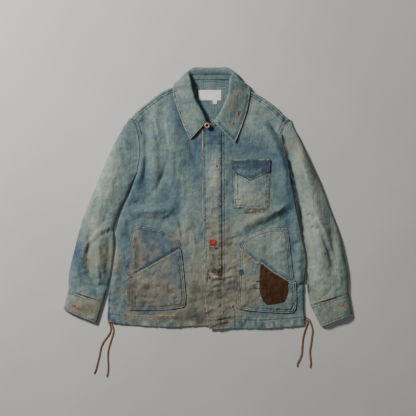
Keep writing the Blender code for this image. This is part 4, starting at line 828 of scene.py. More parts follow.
def bulge(polygon, x, y, amount, reach=45.0):
    return amount * smooth_step(0, reach, distance_to(ring_of(polygon), x, y))


def rounded(ring, x, y, drop=0.8, reach=2.4):
    """How far a layer's upper face falls at its turned edge."""
    return drop * (1 - smooth_step(0, reach, distance_to(ring_of(ring), x, y)))


def nearest(plan, targets):
    return [int(np.argmin(np.hypot(plan[:, 0] - x, plan[:, 1] - y))) for x, y in targets]


# Materials


def rgb(red, green, blue):
    """Linear colour from display values out of 255."""
    return tuple(((c / 255 + 0.055) / 1.055) ** 2.4 for c in (red, green, blue)) + (1.0,)


class Graph:
    """Short names for the nodes of one material."""

    def __init__(self, name):
        self.mat = bpy.data.materials.new(name)
        self.mat.use_nodes = True
        self.tree = self.mat.node_tree
        self.shader = self.tree.nodes["Principled BSDF"]

    def put(self, socket, value):
        if isinstance(value, bpy.types.NodeSocket):
            self.tree.links.new(value, socket)
        else:
            socket.default_value = value

    def coords(self, turn=0.0, scale=(1, 1, 1)):
        source = self.tree.nodes.new("ShaderNodeTexCoord")
        mapping = self.tree.nodes.new("ShaderNodeMapping")
        mapping.inputs["Rotation"].default_value = (0, 0, math.radians(turn))
        mapping.inputs["Scale"].default_value = scale
        self.tree.links.new(source.outputs["Object"], mapping.inputs["Vector"])
        return mapping.outputs["Vector"]

    def noise(self, vector, scale, detail=3.0, rough=0.55, bend=0.0):
        node = self.tree.nodes.new("ShaderNodeTexNoise")
        for key, value in (("Vector", vector), ("Scale", scale), ("Detail", detail),
                           ("Roughness", rough), ("Distortion", bend)):
            self.put(node.inputs[key], value)
        return node.outputs["Fac"]

    def math(self, operation, a, b=0.0, c=0.0):
        node = self.tree.nodes.new("ShaderNodeMath")
        node.operation = operation
        for socket, value in zip(node.inputs, (a, b, c)):
            self.put(socket, value)
        return node.outputs[0]

    def sum(self, base, *terms):
        """base plus amount times (noise less a half) for each noise and amount."""
        for value, amount in terms:
            base = self.math("ADD", base, self.math("MULTIPLY_ADD", value, amount, -0.5 * amount))
        return base

    def step(self, value, low, high):
        node = self.tree.nodes.new("ShaderNodeMapRange")
        node.interpolation_type = "SMOOTHSTEP"
        for key, setting in (("Value", value), ("From Min", low), ("From Max", high)):
            self.put(node.inputs[key], setting)
        return node.outputs["Result"]

    def ramp(self, value, stops):
        node = self.tree.nodes.new("ShaderNodeValToRGB")
        band = node.color_ramp
        while len(band.elements) < len(stops):
            band.elements.new(0.5)
        for element, (position, colour) in zip(band.elements, stops):
            element.position = position
            element.color = colour
        self.put(node.inputs["Fac"], value)
        return node.outputs["Color"]

    def mix(self, factor, a, b, blend="MIX"):
        node = self.tree.nodes.new("ShaderNodeMix")
        node.data_type = "RGBA"
        node.blend_type = blend
        for socket, value in ((node.inputs[0], factor), (node.inputs[6], a), (node.inputs[7], b)):
            self.put(socket, value)
        return node.outputs[2]

    def paint(self):
        node = self.tree.nodes.new("ShaderNodeAttribute")
        node.attribute_name = "paint"
        split = self.tree.nodes.new("ShaderNodeSeparateColor")
        self.tree.links.new(node.outputs["Color"], split.inputs["Color"])
        return split.outputs[0], split.outputs[1], split.outputs[2], node.outputs["Alpha"]

    def bump(self, height, strength, distance, under=None):
        node = self.tree.nodes.new("ShaderNodeBump")
        for key, value in (("Height", height), ("Strength", strength), ("Distance", distance)):
            self.put(node.inputs[key], value)
        if under is not None:
            self.tree.links.new(under, node.inputs["Normal"])
        return node.outputs["Normal"]

    def done(self, colour, roughness, normal=None, specular=0.25):
        self.put(self.shader.inputs["Base Color"], colour)
        self.put(self.shader.inputs["Roughness"], roughness)
        self.shader.inputs["Specular IOR Level"].default_value = specular
        if normal is not None:
            self.put(self.shader.inputs["Normal"], normal)
        return self.mat


DEEP, BLUE, MID = rgb(36, 58, 80), rgb(70, 98, 112), rgb(102, 124, 124)
PALE, PALEST = rgb(135, 150, 142), rgb(170, 178, 164)
NAVY, SOIL_DARK, SOIL, WORN = rgb(32, 52, 80), rgb(88, 79, 60), rgb(149, 141, 116), rgb(196, 182, 152)
SHADE = rgb(13, 18, 22)
TWILL_SLANT = 0.7       # how far the twill's lines lean
TWILL_PITCH = 5200      # radians of its wave to a metre


def denim(name, grain=0.0, deep=DEEP, blue=BLUE, mid=MID, pale=PALE, palest=PALEST, ink=NAVY, rough=1.0):
    """Worn twill: faded by the painted controls, streaked along the warp, soiled in clouds."""
    g = Graph(name)
    fade, dirt, navy, worn = g.paint()
    flat, warp = g.coords(), g.coords(grain, (1, 0.075, 1))
    cloud, mottle = g.noise(flat, 15, 4), g.noise(flat, 70, 4, 0.6)
    streak, slub = g.noise(warp, 230, 3), g.noise(g.coords(grain, (1, 0.02, 1)), 900, 2)
    grit = g.noise(flat, 520, 3, 0.7)
    blotch = g.noise(g.coords(grain, (1, 0.35, 1)), 150, 3, 0.6)
    speck = g.noise(flat, 270, 3, 0.6)
    level = g.sum(fade, (cloud, 0.24), (mottle, 0.26 * rough), (blotch, 0.20 * rough), (streak, 0.18),
                  (slub, 0.12), (grit, 0.46 * rough), (speck, 0.48 * rough))
    colour = g.ramp(level, [(0.0, deep), (0.28, blue), (0.52, mid), (0.74, pale), (1.0, palest)])
    # Navy control: the seams' ink and the painted shade lines
    ink_and_shade = g.step(g.sum(navy, (mottle, 0.25), (grit, 0.5)), 0.20, 0.85)
    colour = g.mix(ink_and_shade, colour, ink)
    # The highest navy values, from the painted shade lines, turn near black as painted shadow
    colour = g.mix(g.step(g.sum(navy, (grit, 0.1)), 0.72, 1.0), colour, SHADE)
    soiled = g.step(g.sum(dirt, (cloud, 0.4), (mottle, 0.45), (grit, 0.35), (speck, 0.3)), 0.12, 0.95)
    grime = g.mix(g.step(g.sum(dirt, (g.noise(flat, 40, 5, 0.65), 1.5)), 0.62, 1.30), SOIL, SOIL_DARK)
    colour = g.mix(g.math("MULTIPLY", soiled, 0.76), colour, grime)
    rubbed = g.step(g.sum(worn, (grit, 0.8), (mottle, 0.3)), 0.36, 0.66)
    colour = g.mix(rubbed, colour, WORN)
    split = g.tree.nodes.new("ShaderNodeSeparateXYZ")
    g.tree.links.new(g.coords(grain), split.inputs["Vector"])
    slant = g.math("MULTIPLY", split.outputs[1], TWILL_SLANT)
    across = g.math("MULTIPLY", g.math("ADD", split.outputs[0], slant), TWILL_PITCH)
    twill = g.math("SINE", across)
    colour = g.mix(0.09, colour, g.ramp(g.math("MULTIPLY_ADD", twill, 0.5, 0.5),
                                        [(0.2, rgb(30, 44, 66)), (0.9, rgb(206, 212, 206))]))
    fine = g.bump(g.sum(g.math("MULTIPLY", twill, 0.25), (grit, 1.1)), 0.35, 0.0004)
    normal = g.bump(g.sum(0.0, (mottle, 0.9), (blotch, 0.6), (streak, 0.3), (speck, 0.55)), 0.8, 0.0022, fine)
    return g.done(colour, g.math("MULTIPLY_ADD", grit, 0.12, 0.84), normal)


def plain_cloth(name, light, dark, scale=260):
    g = Graph(name)
    flat = g.coords()
    patch, fine = g.noise(flat, scale * 0.2, 4, 0.6), g.noise(flat, scale * 4, 2, 0.7)
    colour = g.ramp(g.sum(patch, (fine, 0.5)), [(0.25, dark), (0.75, light)])
    return g.done(colour, 0.9, g.bump(g.sum(patch, (fine, 0.8)), 0.5, 0.0006), 0.2)


def thread(name, light, dark):
    g = Graph(name)
    colour = g.ramp(g.noise(g.coords(), 160, 3, 0.7), [(0.35, dark), (0.65, light)])
    return g.done(colour, 0.85, g.bump(g.noise(g.coords(), 2600, 2), 0.6, 0.0002), 0.2)


DENIM = denim("denim_body")
DENIM_SLEEVE_R = denim("denim_sleeve_right", -22)
# The left sleeve's ink colour, near-black green, also colours the painted shadow along its inner side
DENIM_SLEEVE_L = denim("denim_sleeve_left", 16, ink=rgb(40, 50, 54))
DENIM_CUFF = denim("denim_cuff", 72, BLUE, MID, rgb(112, 126, 122), rgb(148, 156, 144), rgb(188, 186, 162),
                   rough=1.9)
INDIGO = denim("denim_indigo", 0, rgb(22, 38, 60), rgb(36, 60, 84), rgb(60, 86, 100), rgb(90, 114, 118),
               rgb(126, 142, 138))
BROWN_CLOTH = plain_cloth("brown_cloth", rgb(92, 62, 39), rgb(50, 33, 22))
RED_CLOTH = plain_cloth("red_cloth", rgb(192, 82, 66), rgb(92, 44, 38), 900)
BLUE_CLOTH = plain_cloth("blue_cloth", rgb(84, 98, 112), rgb(44, 54, 70), 900)
THREAD_COLOURS = {
    "navy": ((52, 70, 102), (20, 28, 50)),
    "pale": ((150, 160, 156), (84, 104, 118)),
    "cream": ((206, 186, 148), (132, 112, 80)),
    "brown": ((128, 92, 60), (64, 46, 34)),
    "red": ((206, 70, 44), (140, 40, 30)),
    "orange": ((222, 120, 62), (168, 82, 40)),
    "yellow": ((226, 184, 132), (176, 132, 84)),
    "white": ((222, 212, 190), (164, 150, 126)),
    "dark": ((48, 36, 26), (20, 16, 12)),
}
THREADS = {colour: thread("thread_" + colour, rgb(*light), rgb(*low))
           for colour, (light, low) in THREAD_COLOURS.items()}

# Camera and light

camera = bpy.data.objects.new("camera", bpy.data.cameras.new("camera"))
bpy.context.scene.collection.objects.link(camera)
bpy.context.scene.camera = camera
LENS, SENSOR = 85, 36
camera.data.lens = LENS
camera.data.sensor_width = SENSOR
FIELD = 416 * PIXEL * MM      # width of the picture on the floor, in metres
camera.location = (0.0009, -0.029, FIELD * LENS / SENSOR)
camera.data.clip_start, camera.data.clip_end = 0.1, 20


def lamp(name, place_at, look_at, size, power, colour):
    data = bpy.data.lights.new(name, "AREA")
    data.shape = "DISK"
    data.size = size
    data.energy = power
    data.color = colour
    obj = bpy.data.objects.new(name, data)
    obj.location = place_at
    obj.rotation_mode = "QUATERNION"
    obj.rotation_quaternion = (Vector(look_at) - Vector(place_at)).to_track_quat("-Z", "Y")
    bpy.context.scene.collection.objects.link(obj)


lamp("key", (-1.85, 1.5, 1.6), (0, 0, 0), 0.6, 108, (1.0, 0.985, 0.955))
lamp("fill", (0.8, -0.8, 2.8), (0, 0, 0), 2.2, 6, (0.92, 0.96, 1.0))
world = bpy.data.worlds.new("world")
world.use_nodes = True
world.node_tree.nodes["Background"].inputs["Color"].default_value = (0.9, 0.93, 1.0, 1)
world.node_tree.nodes["Background"].inputs["Strength"].default_value = 0.07
bpy.context.scene.world = world

FLOOR_HALF, FLOOR_Z = 4, -0.0004
ground = Graph("floor_board")
floor_noise = ground.noise(ground.coords(), 3.0, 4)
ground.done(ground.ramp(floor_noise, [(0.3, rgb(204, 203, 199)), (0.7, rgb(212, 211, 207))]), 0.75)
floor_mesh = bpy.data.meshes.new("floor")
floor_corners = [(FLOOR_HALF * x, FLOOR_HALF * y, FLOOR_Z) for x, y in ((-1, -1), (1, -1), (1, 1), (-1, 1))]
floor_mesh.from_pydata(floor_corners, [], [(0, 1, 2, 3)])
floor_mesh.materials.append(ground.mat)
floor = bpy.data.objects.new("floor", floor_mesh)
bpy.context.scene.collection.objects.link(floor)

# Laces

leather = Graph("lace_leather")
hide_noise = leather.noise(leather.coords(0, (1, 0.3, 1)), 420, 4, 0.6)
leather.done(leather.ramp(hide_noise, [(0.3, rgb(112, 74, 50)), (0.7, rgb(164, 116, 82))]), 0.62,
             leather.bump(hide_noise, 0.5, 0.0004), 0.35)


def lace(name, route, turn):
    """Flat thong: a strip that lies on the floor and slowly twists."""
    radius = LACE_DIAMETER / 2
    heights = [radius + 0.5] + [radius + 0.1] * (len(route) - 1)
    path = spline([(x, y, z) for (x, y), z in zip(route, heights)], 70)
    path[:, 2] = np.where(np.arange(70) > 8, np.maximum(path[:, 2] - 0.5, 1.3), path[:, 2])
    along = np.gradient(path, axis=0)
    along /= np.linalg.norm(along, axis=1)[:, None]
    side = np.column_stack([-along[:, 1], along[:, 0], np.zeros(len(path))])
    up = np.cross(along, side)
    corners = [(-1, -0.5), (-0.93, 0.6), (-0.5, 1), (0.5, 1), (0.93, 0.6), (1, -0.5), (0.8, -1), (-0.8, -1)]
    lean = np.radians(14) * np.sin(np.linspace(0, 5, len(path)) + turn)
    rings = []
    for u, v in corners:
        a, b = u * LACE_WIDTH / 2, v * LACE_THICK / 2
        rings.append(path + side * (a * np.cos(lean) - b * np.sin(lean))[:, None]
                     + up * (a * np.sin(lean) + b * np.cos(lean))[:, None])
    grid = np.array(rings).transpose(1, 0, 2)
    grid[:, :, 2] = np.maximum(grid[:, :, 2], 0.1)
    count = len(corners)
    faces = [tuple(range(count))[::-1], tuple(range((len(path) - 1) * count, len(path) * count))]
    for k in range(len(path) - 1):
        for j in range(count):
            n = (j + 1) % count
            faces.append((k * count + j, k * count + n, (k + 1) * count + n, (k + 1) * count + j))
    obj = add_mesh(name + "_thong", grid.reshape(-1, 3), faces, leather.mat, keep=False)
    finish_piece(obj, "lace", name)
    length = float(np.linalg.norm(np.diff(path, axis=0), axis=1).sum()) * MM


for index, (lace_name, lace_route) in enumerate(LACES.items()):
    lace(lace_name, lace_route, index * 1.7)

# Back and fronts

SPACING = 3.8

back_runs = [inset_run(SHOULDER_R, BACK_MARGIN, *SHOULDER_RIGHT_ENDS), ARM_R[1:-1],
             inset_run(sampled(SIDE_RIGHT), BACK_MARGIN, *SIDE_RIGHT_ENDS),
             (sampled(HEM_BACK, 6) + [0, 1.0])[1:-1],
             inset_run(sampled(SIDE_LEFT), BACK_MARGIN, *SIDE_LEFT_ENDS), ARM_L[1:-1],
             inset_run(SHOULDER_L, BACK_MARGIN, *SHOULDER_LEFT_ENDS), sampled(NECKLINE_BACK)[1:-1]]
back_outline = np.vstack(back_runs)
back_seam = sampled([(-66, 329), (-30, 335), (5, 337), (40, 335), (80, 327)])
plan, tris = triangulate(back_outline, [back_seam], 8.0)
low = neck_lift(plan[:, 0], plan[:, 1])
colours = paint(plan[:, 0], plan[:, 1], [(back_seam, 0.1)], fade=0.56, table=[])
# Painted shade: the inside of the back neck is painted darker
neck_shade = smooth_step(190, 230, plan[:, 1]) * smooth_step(110, 80, abs(plan[:, 0] - 6))
colours[:, 0] = np.clip(colours[:, 0] - 0.06 * neck_shade, 0, 1)
relief = seam_relief([(back_seam, 0.35)], plan[:, 0], plan[:, 1])
back = shell("back_panel", plan, tris, low + WALL + 0.25 * np.clip(relief, -1, 0.6), low, DENIM, colours)
finish_piece(back, "denim", "back")


def front(name, outline, height, seams, rolled_in, rolled_out, edges, painted_shade, hem, pale=()):
    plan, tris = triangulate(outline, [s for s, _ in seams] + [d for d, _, _ in painted_shade], SPACING)
    x, y = plan[:, 0], plan[:, 1]
    top = height(x, y)
    rolled = {}
    for inner, outer in zip(rolled_in, rolled_out):
        rolled.update(zip(nearest(plan, inner), outer))
    colours = paint(x, y, seams, edges, pale=pale, painted_shade=painted_shade)
    band = smooth_step(HEM_DEPTH, HEM_DEPTH - 5, distance_to(hem, x, y))
    streaks = noise(x + 0.2 * y, 0.22 * y, 7.5, 3) + 0.5 * noise(x, y, 19, 1)
    colours[:, 0] = np.clip(colours[:, 0] + 0.26 * band * streaks, 0, 1)
    colours[:, 2] = np.clip(colours[:, 2] - 0.22 * band * streaks, 0, 1)
    obj = shell(name, plan, tris, top, top - WALL * SHEAR_LIMIT ** 0.5, DENIM, colours, rolled)
    return finish_piece(obj, "denim_pale", name)


shoulder_in = inset_run(SHOULDER_R, EDGE_ROLL, *SHOULDER_RIGHT_ENDS)
side_r = sampled(SIDE_RIGHT)
side_in = inset_run(side_r, EDGE_ROLL, *SIDE_RIGHT_ENDS)
centre_line = open_line([(FLY_UNDERLAP_X - 2, HEM_RIGHT[-1][1]), (FLY_UNDERLAP_X, 205)])
neck_line = sampled(NECKLINE_RIGHT[:-1] + [(FLY_UNDERLAP_X, 205)])[::-1]
outline = np.vstack([shoulder_in, ARM_R[1:-1], side_in, HEM_R[1:-1], centre_line[:-1], neck_line[:-1]])
front_right = front("front_right", outline, front_height, SEAMS_RIGHT, [shoulder_in, side_in],
                    [SHOULDER_R, side_r], [(HEM_R, 1.6, 0.6), (side_r, 2.0, 0.35)], PAINTED_SHADE_RIGHT, HEM_R)
front_right.name = "front_right_panel"

shoulder_in = inset_run(SHOULDER_L, EDGE_ROLL, *SHOULDER_LEFT_ENDS)
side_l = sampled(SIDE_LEFT)
side_in = inset_run(side_l, EDGE_ROLL, *SIDE_LEFT_ENDS)
fly = sampled(FLY_EDGE)
outline = np.vstack([side_in, ARM_L[1:-1], shoulder_in, sampled(NECKLINE_LEFT)[1:], fly, HEM_L[1:-1]])
front_left = front("front_left", outline, left_height, SEAMS_LEFT, [shoulder_in, side_in],
                   [SHOULDER_L, side_l], [(fly, 1.9, 0.8), (HEM_L, 1.6, 0.6), (side_l, 2.0, 0.35)],
                   PAINTED_SHADE_LEFT, HEM_L, [(fly[:-12] + [7.5, 0], 4.5, -0.26)])
front_left.name = "front_left_panel"

# Placket, pockets and patches: layers that follow the front beneath them


def layer(name, ring, bottom_of, thickness, mat, seams, edges, slot_name, node, spacing=3.4, fade=0.5,
          dirt=0.0, detail=0.5, seed=2, rests=("front_left_panel",), pale=(), painted_shade=()):
    """One sewn layer. bottom_of gives its lower face. Returns its upper face as a function."""
    def top_of(x, y):
        own = detail * (0.6 * noise(x, y, 17, seed) + 0.4 * noise(x, y, 8, seed + 1)
                        - 0.9 * creases(x, y, 30, seed + 2, 1.2, 15 * seed))
        inner = smooth_step(2, 14, distance_to(ring_of(ring), x, y))
        return bottom_of(x, y) + thickness + (own + 0.9 * detail) * inner + seam_relief(seams, x, y, seed)

    plan, tris = triangulate(ring, [s for s, _ in seams] + [d for d, _, _ in painted_shade], spacing)
    x, y = plan[:, 0], plan[:, 1]
    top = top_of(x, y) - rounded(ring, x, y, 0.6, 2.0)
    low = bottom_of(x, y)
    colours = paint(x, y, seams, edges, fade, dirt, pale, painted_shade)
    obj = shell(name + "_cloth", plan, tris, np.maximum(top, low + 0.5), low, mat, colours)
    finish_piece(obj, slot_name, node)
    return top_of


def stitched(ring, *depths):
    return [(shrunk(ring, d), 0.55) for d in depths]


POCKET_SEAMS = (3.2, 8.8)       # the two rows of stitches inside a lower pocket's edge
strip_lines = [(shrunk(STRIP_RING, 3.0), 0.5)]
layer("fly_placket", STRIP_RING, lambda x, y: left_height(x, y) + GAP, WALL, DENIM, strip_lines,
      [(ring_of(STRIP_RING), 1.6, 0.3)], "denim_dirty", "fly_placket", fade=0.60, dirt=0.08,
      detail=0.8, seed=1)


def pocket(side, ring, lower, mouth, base, gusset, above, fade, dirt):
    """Backing and pouch of a lower pocket; above is 1 when the mouth's upper side is to its left."""
    def backing_low(x, y):
        return base(x, y) + GAP

    strip = [(moved_left(mouth, 5.4 * above), 4.0, -0.36)]
    # The backing carries a painted shadow just under the pouch's mouth edge
    backing_top = layer(f"pocket_{side}_backing", ring, backing_low, POCKET_WALL, DENIM,
                        stitched(ring, *POCKET_SEAMS), [(ring_of(ring), 1.9, 0.75)], "denim",
                        f"pocket_{side}_backing", fade=fade, dirt=dirt, seed=2,
                        rests=[f"front_{side}_panel"],
                        pale=strip + [(ring_of(ring), 2.4, 0.25)],
                        painted_shade=[(moved_left(mouth, 1.4 * above), 1.5, 0.8)])

    def pouch_low(x, y):
        return backing_top(x, y) + GAP + bulge(lower, x, y, POUCH_BULGE)

    lines = stitched(lower, *POCKET_SEAMS) + gusset
    # Painted shadow round the brown patch on the left pouch
    patched = [(ring_of(BROWN), 2.4, 0.85)] if side == "left" else []
    return layer(f"pocket_{side}_pouch", lower, pouch_low, POCKET_WALL, DENIM, lines,
                 [(mouth, 2.2, 0.9), (ring_of(lower), 1.9, 0.7)],
                 "denim_dirty" if side == "right" else "denim_pale", f"pocket_{side}_pouch",
                 fade=fade, dirt=dirt, seed=3, rests=[f"pocket_{side}_backing_cloth"],
                 pale=[(ring_of(lower), 2.4, 0.2)], painted_shade=patched)


pocket("right", RING_R, LOWER_R, MOUTH_R, front_height,
       [(open_line([place(137.0, 276), place(136.2, 306)]), 0.8),
        (open_line([place(129.8, 280), place(129.5, 306)]), 0.5)], 1, 0.36, 0.10)
pouch_l = pocket("left", RING_L, LOWER_L, MOUTH_L, left_height, [], -1, 0.60, 0.06)
patch_seam = (open_line([place(266.5, 268), place(267.5, 300)]), 0.9)
layer("brown_patch", BROWN, lambda x, y: pouch_l(x, y) + GAP, PATCH_WALL, BROWN_CLOTH, [patch_seam], [],
      "brown_cloth", "brown_patch", detail=0.9, seed=4, rests=["pocket_left_pouch_cloth"])


def chest_low(x, y):
    return left_height(x, y) + GAP + bulge(CHEST, x, y, CHEST_BULGE, 30)


chest_lines = stitched(CHEST, 2.5, 7.5) + [(open_line([place(237.6, 160), place(237.8, 199.3)]), 0.5),
                                           (open_line([place(233.5, 199.3), place(239.5, 199.5)]), 0.5)]
flap_shade = moved_left(open_line([(181, 108), (179, 77), (125, 53), (71, 78)]), 1.6)
chest_band = open_line([place(232.6, 172), place(232.6, 206)])
chest_top = layer("chest_pocket", CHEST, chest_low, POCKET_WALL, DENIM, chest_lines,
                  [(ring_of(CHEST), 1.6, 0.6)], "denim_pale", "chest_pocket", fade=0.62, dirt=0.06, seed=5,
                  pale=[(chest_band, 3.0, -0.35)], painted_shade=[(flap_shade, 2.0, 1.0)])


def flap_low(x, y):
    return np.maximum(left_height(x, y) + 2 * GAP + POCKET_WALL + FLAP_LIFT, chest_top(x, y) + GAP)


flap_worn = open_line([place(238, 171), place(250, 173.5), place(262, 170.5)])
layer("chest_flap", FLAP, flap_low, POCKET_WALL, INDIGO, stitched(FLAP, 2.8, 7.4),
      [(ring_of(FLAP), 1.9, 0.95)], "indigo", "chest_flap", spacing=3.0, fade=0.42, dirt=0.02, seed=1,
      rests=["chest_pocket_cloth"], pale=[(flap_worn, 9.0, 0.40)])

# Sleeves and cuffs

SECTION_TOP = np.concatenate([[0.008, 0.02, 0.045, 0.08, 0.12], np.linspace(0.16, 0.84, 34),
                              [0.88, 0.92, 0.955, 0.98, 0.992]])
SECTION_LOW = np.array([1.0, 0.985, 0.965, 0.75, 0.5, 0.25, 0.035, 0.015, 0.0])
SECTION = np.concatenate([SECTION_LOW, SECTION_TOP])
LOW_RISE = np.array([1.0, 0.3, 0.0, 0.0, 0.0, 0.0, 0.0, 0.3, 1.0])
CUFF_WALL = WALL + 0.6
SLEEVE_FLOOR, CUFF_FLOOR = 0.6, 0.7     # least height of the inside over the floor


def tube(name, rings, mat, colours):
    """Closed wall between pairs of rings, one outside the other, open at both ends."""
    rings_out, rings_in = (np.array(side) for side in zip(*rings))
    count, around = rings_out.shape[:2]
    half, last = count * around, (count - 1) * around
    faces = []
    for k in range(count - 1):
        for j in range(around):
            a, b = k * around + j, k * around + (j + 1) % around
            faces.append((a, b, b + around, a + around))
            faces.append((half + a + around, half + b + around, half + b, half + a))
    for j in range(around):
        n = (j + 1) % around
        faces.append((j, half + j, half + n, n))
        faces.append((last + n, half + last + n, half + last + j, last + j))
    points = np.vstack([rings_out.reshape(-1, 3), rings_in.reshape(-1, 3)])
    return add_mesh(name, points, faces, mat, np.vstack([colours, colours]))


def thickened(ring, thickness):
    before, after = np.roll(ring, 1, axis=0), np.roll(ring, -1, axis=0)
    first = (ring - before) / np.linalg.norm(ring - before, axis=1)[:, None]
    second = (after - ring) / np.linalg.norm(after - ring, axis=1)[:, None]
    normal = np.column_stack([-(first + second)[:, 1], (first + second)[:, 0]])
    normal /= np.linalg.norm(normal, axis=1)[:, None]
    lean = np.clip(np.einsum("ij,ij->i", normal, np.column_stack([-first[:, 1], first[:, 0]])), 0.6, 1)
    return ring + normal * (thickness / lean)[:, None]


def wall_rings(inner, outer, tops, thickness, least, shift=0.0):
    """Outside and inside of a flat tube's wall at one station, from its inner to its outer side."""
    width = math.dist(outer, inner)
    flat = np.column_stack([SECTION * width, np.concatenate([LOW_RISE * SLEEVE_SIDE_Z, tops])])
    wall = thickened(flat[::-1], thickness)[::-1]
    wall[:, 1] = np.maximum(wall[:, 1], least)
    return [np.column_stack([inner + (outer - inner) * (ring[:, 0] / width)[:, None] + shift, ring[:, 1]])
            for ring in (flat, wall)]


def sleeve(name, outer, inner, armhole, folds, mirrored, mat, node, grain, fade_level, painted_shade):
    stations = 160
    outer, inner = spline(outer, stations), spline(inner, stations)
    hole = sampled(armhole)
    if mirrored:
        hole = hole[::-1]
    hole_share = np.linspace(1, 0, len(hole))
    rings = []
    for k, (o, i) in enumerate(zip(outer, inner)):
        width = math.dist(o, i)
        blend = smooth_step(0, ARMHOLE_BLEND, k * (SLEEVE_STATIONS - 1) / (stations - 1))
        fade = 1 - blend
        straight = i + (o - i) * SECTION[:, None]
        on_hole = np.column_stack([np.interp(SECTION, hole_share[::-1], hole[::-1, c]) for c in (0, 1)])
        chord = hole[-1] + (hole[0] - hole[-1]) * SECTION[:, None]
        shift = (on_hole - chord) * fade
        if k == 0:
            away = np.array([-(o - i)[1], (o - i)[0]]) / width * (1 if mirrored else -1)
            shift = shift - away * SLEEVE_SEAM
        x, y = (straight + shift)[len(SECTION_LOW):].T
        dome = (1 - np.abs(2 * SECTION_TOP - 1) ** (3.2 + 7.0 * fade)) ** 0.55
        own = SLEEVE_SIDE_Z + (SLEEVE_LOFT - SLEEVE_SIDE_Z) * dome + fold_height(folds, x, y) * dome
        own = own + (1.1 * crumple(x, y, grain) + fold_height(FINE_SLEEVES, x, y)) * dome
        joined = front_plain(x, y) * dome + SLEEVE_SIDE_Z * (1 - dome)
        tops = np.maximum(own * blend + joined * fade, LOWEST_TOP)
        rings.append(wall_rings(i, o, tops, WALL, SLEEVE_FLOOR, shift))
    points = np.array([outside for outside, _ in rings]).reshape(-1, 3)
    colours = paint(points[:, 0], points[:, 1], [(hole, 0.5)], [], fade_level, 0.05, (), painted_shade, grain)
    return finish_piece(tube(name, rings, mat, colours), "denim_pale", node)


sleeve_r = sleeve("sleeve_right_cloth", SLEEVE_RIGHT_OUTER, SLEEVE_RIGHT_INNER, ARMHOLE_RIGHT,
                  SLEEVE_RIGHT_FOLDS, False, DENIM_SLEEVE_R, "sleeve_right", -22, 0.56, [])
# The left sleeve carries a painted shadow of the body's edge along its inner side
sleeve_l = sleeve("sleeve_left_cloth", SLEEVE_LEFT_OUTER, SLEEVE_LEFT_INNER, ARMHOLE_LEFT,
                  SLEEVE_LEFT_FOLDS, True, DENIM_SLEEVE_L, "sleeve_left", 16, 0.75,
                  [(sampled([(215, 178), (236, 101), (255, 20), (266, -38), (274, -97)]), 6.5, 1.05),
                   (sampled([(274, -97), (283, -155), (292, -272)]), 4.5, 0.85)])

CUFF_STATIONS = 34


def cuff(name, corners, node):
    """One cuff band, on the four corners of its outline. Returns its stitched lines."""
    top_outer, top_inner, low_inner, low_outer = (np.array(c, float) for c in corners)
    rings = []
    for t in np.linspace(0, 1, CUFF_STATIONS):
        o = top_outer + (low_outer - top_outer) * t
        i = top_inner + (low_inner - top_inner) * t
        width = math.dist(o, i)
        dome = (1 - np.abs(2 * SECTION_TOP - 1) ** 3.6) ** 0.5
        at = i + (o - i) * SECTION_TOP[:, None]
        wave = CUFF_WAVE * np.sin(SECTION_TOP * 9 + 1.5 * t)
        wave = wave + 0.7 * noise(at[:, 0], at[:, 1], 12, 3) + 0.4 * noise(at[:, 0], at[:, 1], 6, 1)
        length = math.dist((top_outer + top_inner) / 2, (low_outer + low_inner) / 2)
        for line in (3.0, 9.0, length - 3.5):
            groove = math.exp(-((t * length - line) / 1.4) ** 2)
            pucker = noise(SECTION_TOP * width, np.full(len(SECTION_TOP), line), 4.5, 2)
            wave = wave - 0.6 * groove + 0.35 * pucker * math.exp(-((t * length - line) / 4) ** 2)
        tops = SLEEVE_SIDE_Z + (CUFF_LOFT + CUFF_FLARE * t - SLEEVE_SIDE_Z + wave) * dome
        rings.append(wall_rings(i, o, tops, CUFF_WALL, CUFF_FLOOR))
    points = np.array([outside for outside, _ in rings]).reshape(-1, 3)
    ways = [(a + (b - a) * f, c + (d - c) * f) for a, b, c, d in
            [(top_outer, low_outer, top_inner, low_inner)] for f in (0.05, 0.15, 0.93)]
    seams = [(open_line([a, b]), 0.6) for a, b in ways]
    mouth_edge = [(open_line([low_outer, low_inner]), 2.0, 0.7)]
    colours = paint(points[:, 0], points[:, 1], seams, mouth_edge, 0.60, 0.16)
    obj = tube(name, rings, DENIM_CUFF, colours)
    finish_piece(obj, "denim_dirty", node)
    return seams


cuff_r_lines = cuff("cuff_right_band", CUFF_RIGHT, "cuff_right")
cuff_l_lines = cuff("cuff_left_band", CUFF_LEFT, "cuff_left")

# Collar


def smooth_fixed(points, count):
    p = np.array(points, float)
    p = np.vstack([2 * p[0] - p[1], p, 2 * p[-1] - p[-2]])
    spans = len(p) - 3
    out = []
    for u in np.linspace(0, spans, count):
        k = min(int(u), spans - 1)
        t = u - k
        a, b, c, d = p[k:k + 4]
        out.append(0.5 * (2 * b + (c - a) * t + (2 * a - 5 * b + 4 * c - d) * t * t
                          + (3 * b - a - 3 * c + d) * t ** 3))
    return np.array(out)


def grid_from(stations, count_s, count_t):
    stations = np.array(stations, float)
    across = np.array([smooth_fixed(s, count_t) for s in stations])
    columns = [smooth_fixed(across[:, t], count_s) for t in range(count_t)]
    return np.array(columns).transpose(1, 0, 2)


def leaf_section(station):
    _, fold, edge, height = station
    fold, edge = np.array(fold, float), np.array(edge, float)
    reach = np.linalg.norm(edge - fold)
    way = (edge - fold) / reach
    rest = float(left_plain(*edge)) if edge[0] > 0 else float(front_plain(*edge))
    rest += GAP + COLLAR_WALL / 2 + LEAF_CLEAR
    points = []
    for distance, z in ((5.0, height - 7.0), (0.0, height - 3.5), (4.5, height),
                        (0.32 * reach, rest + (height - rest) * 0.80),
                        (0.56 * reach, rest + (height - rest) * 0.48),
                        (0.80 * reach, rest + (height - rest) * 0.18), (reach, rest)):
        points.append((*(fold + way * distance), z))
    return points


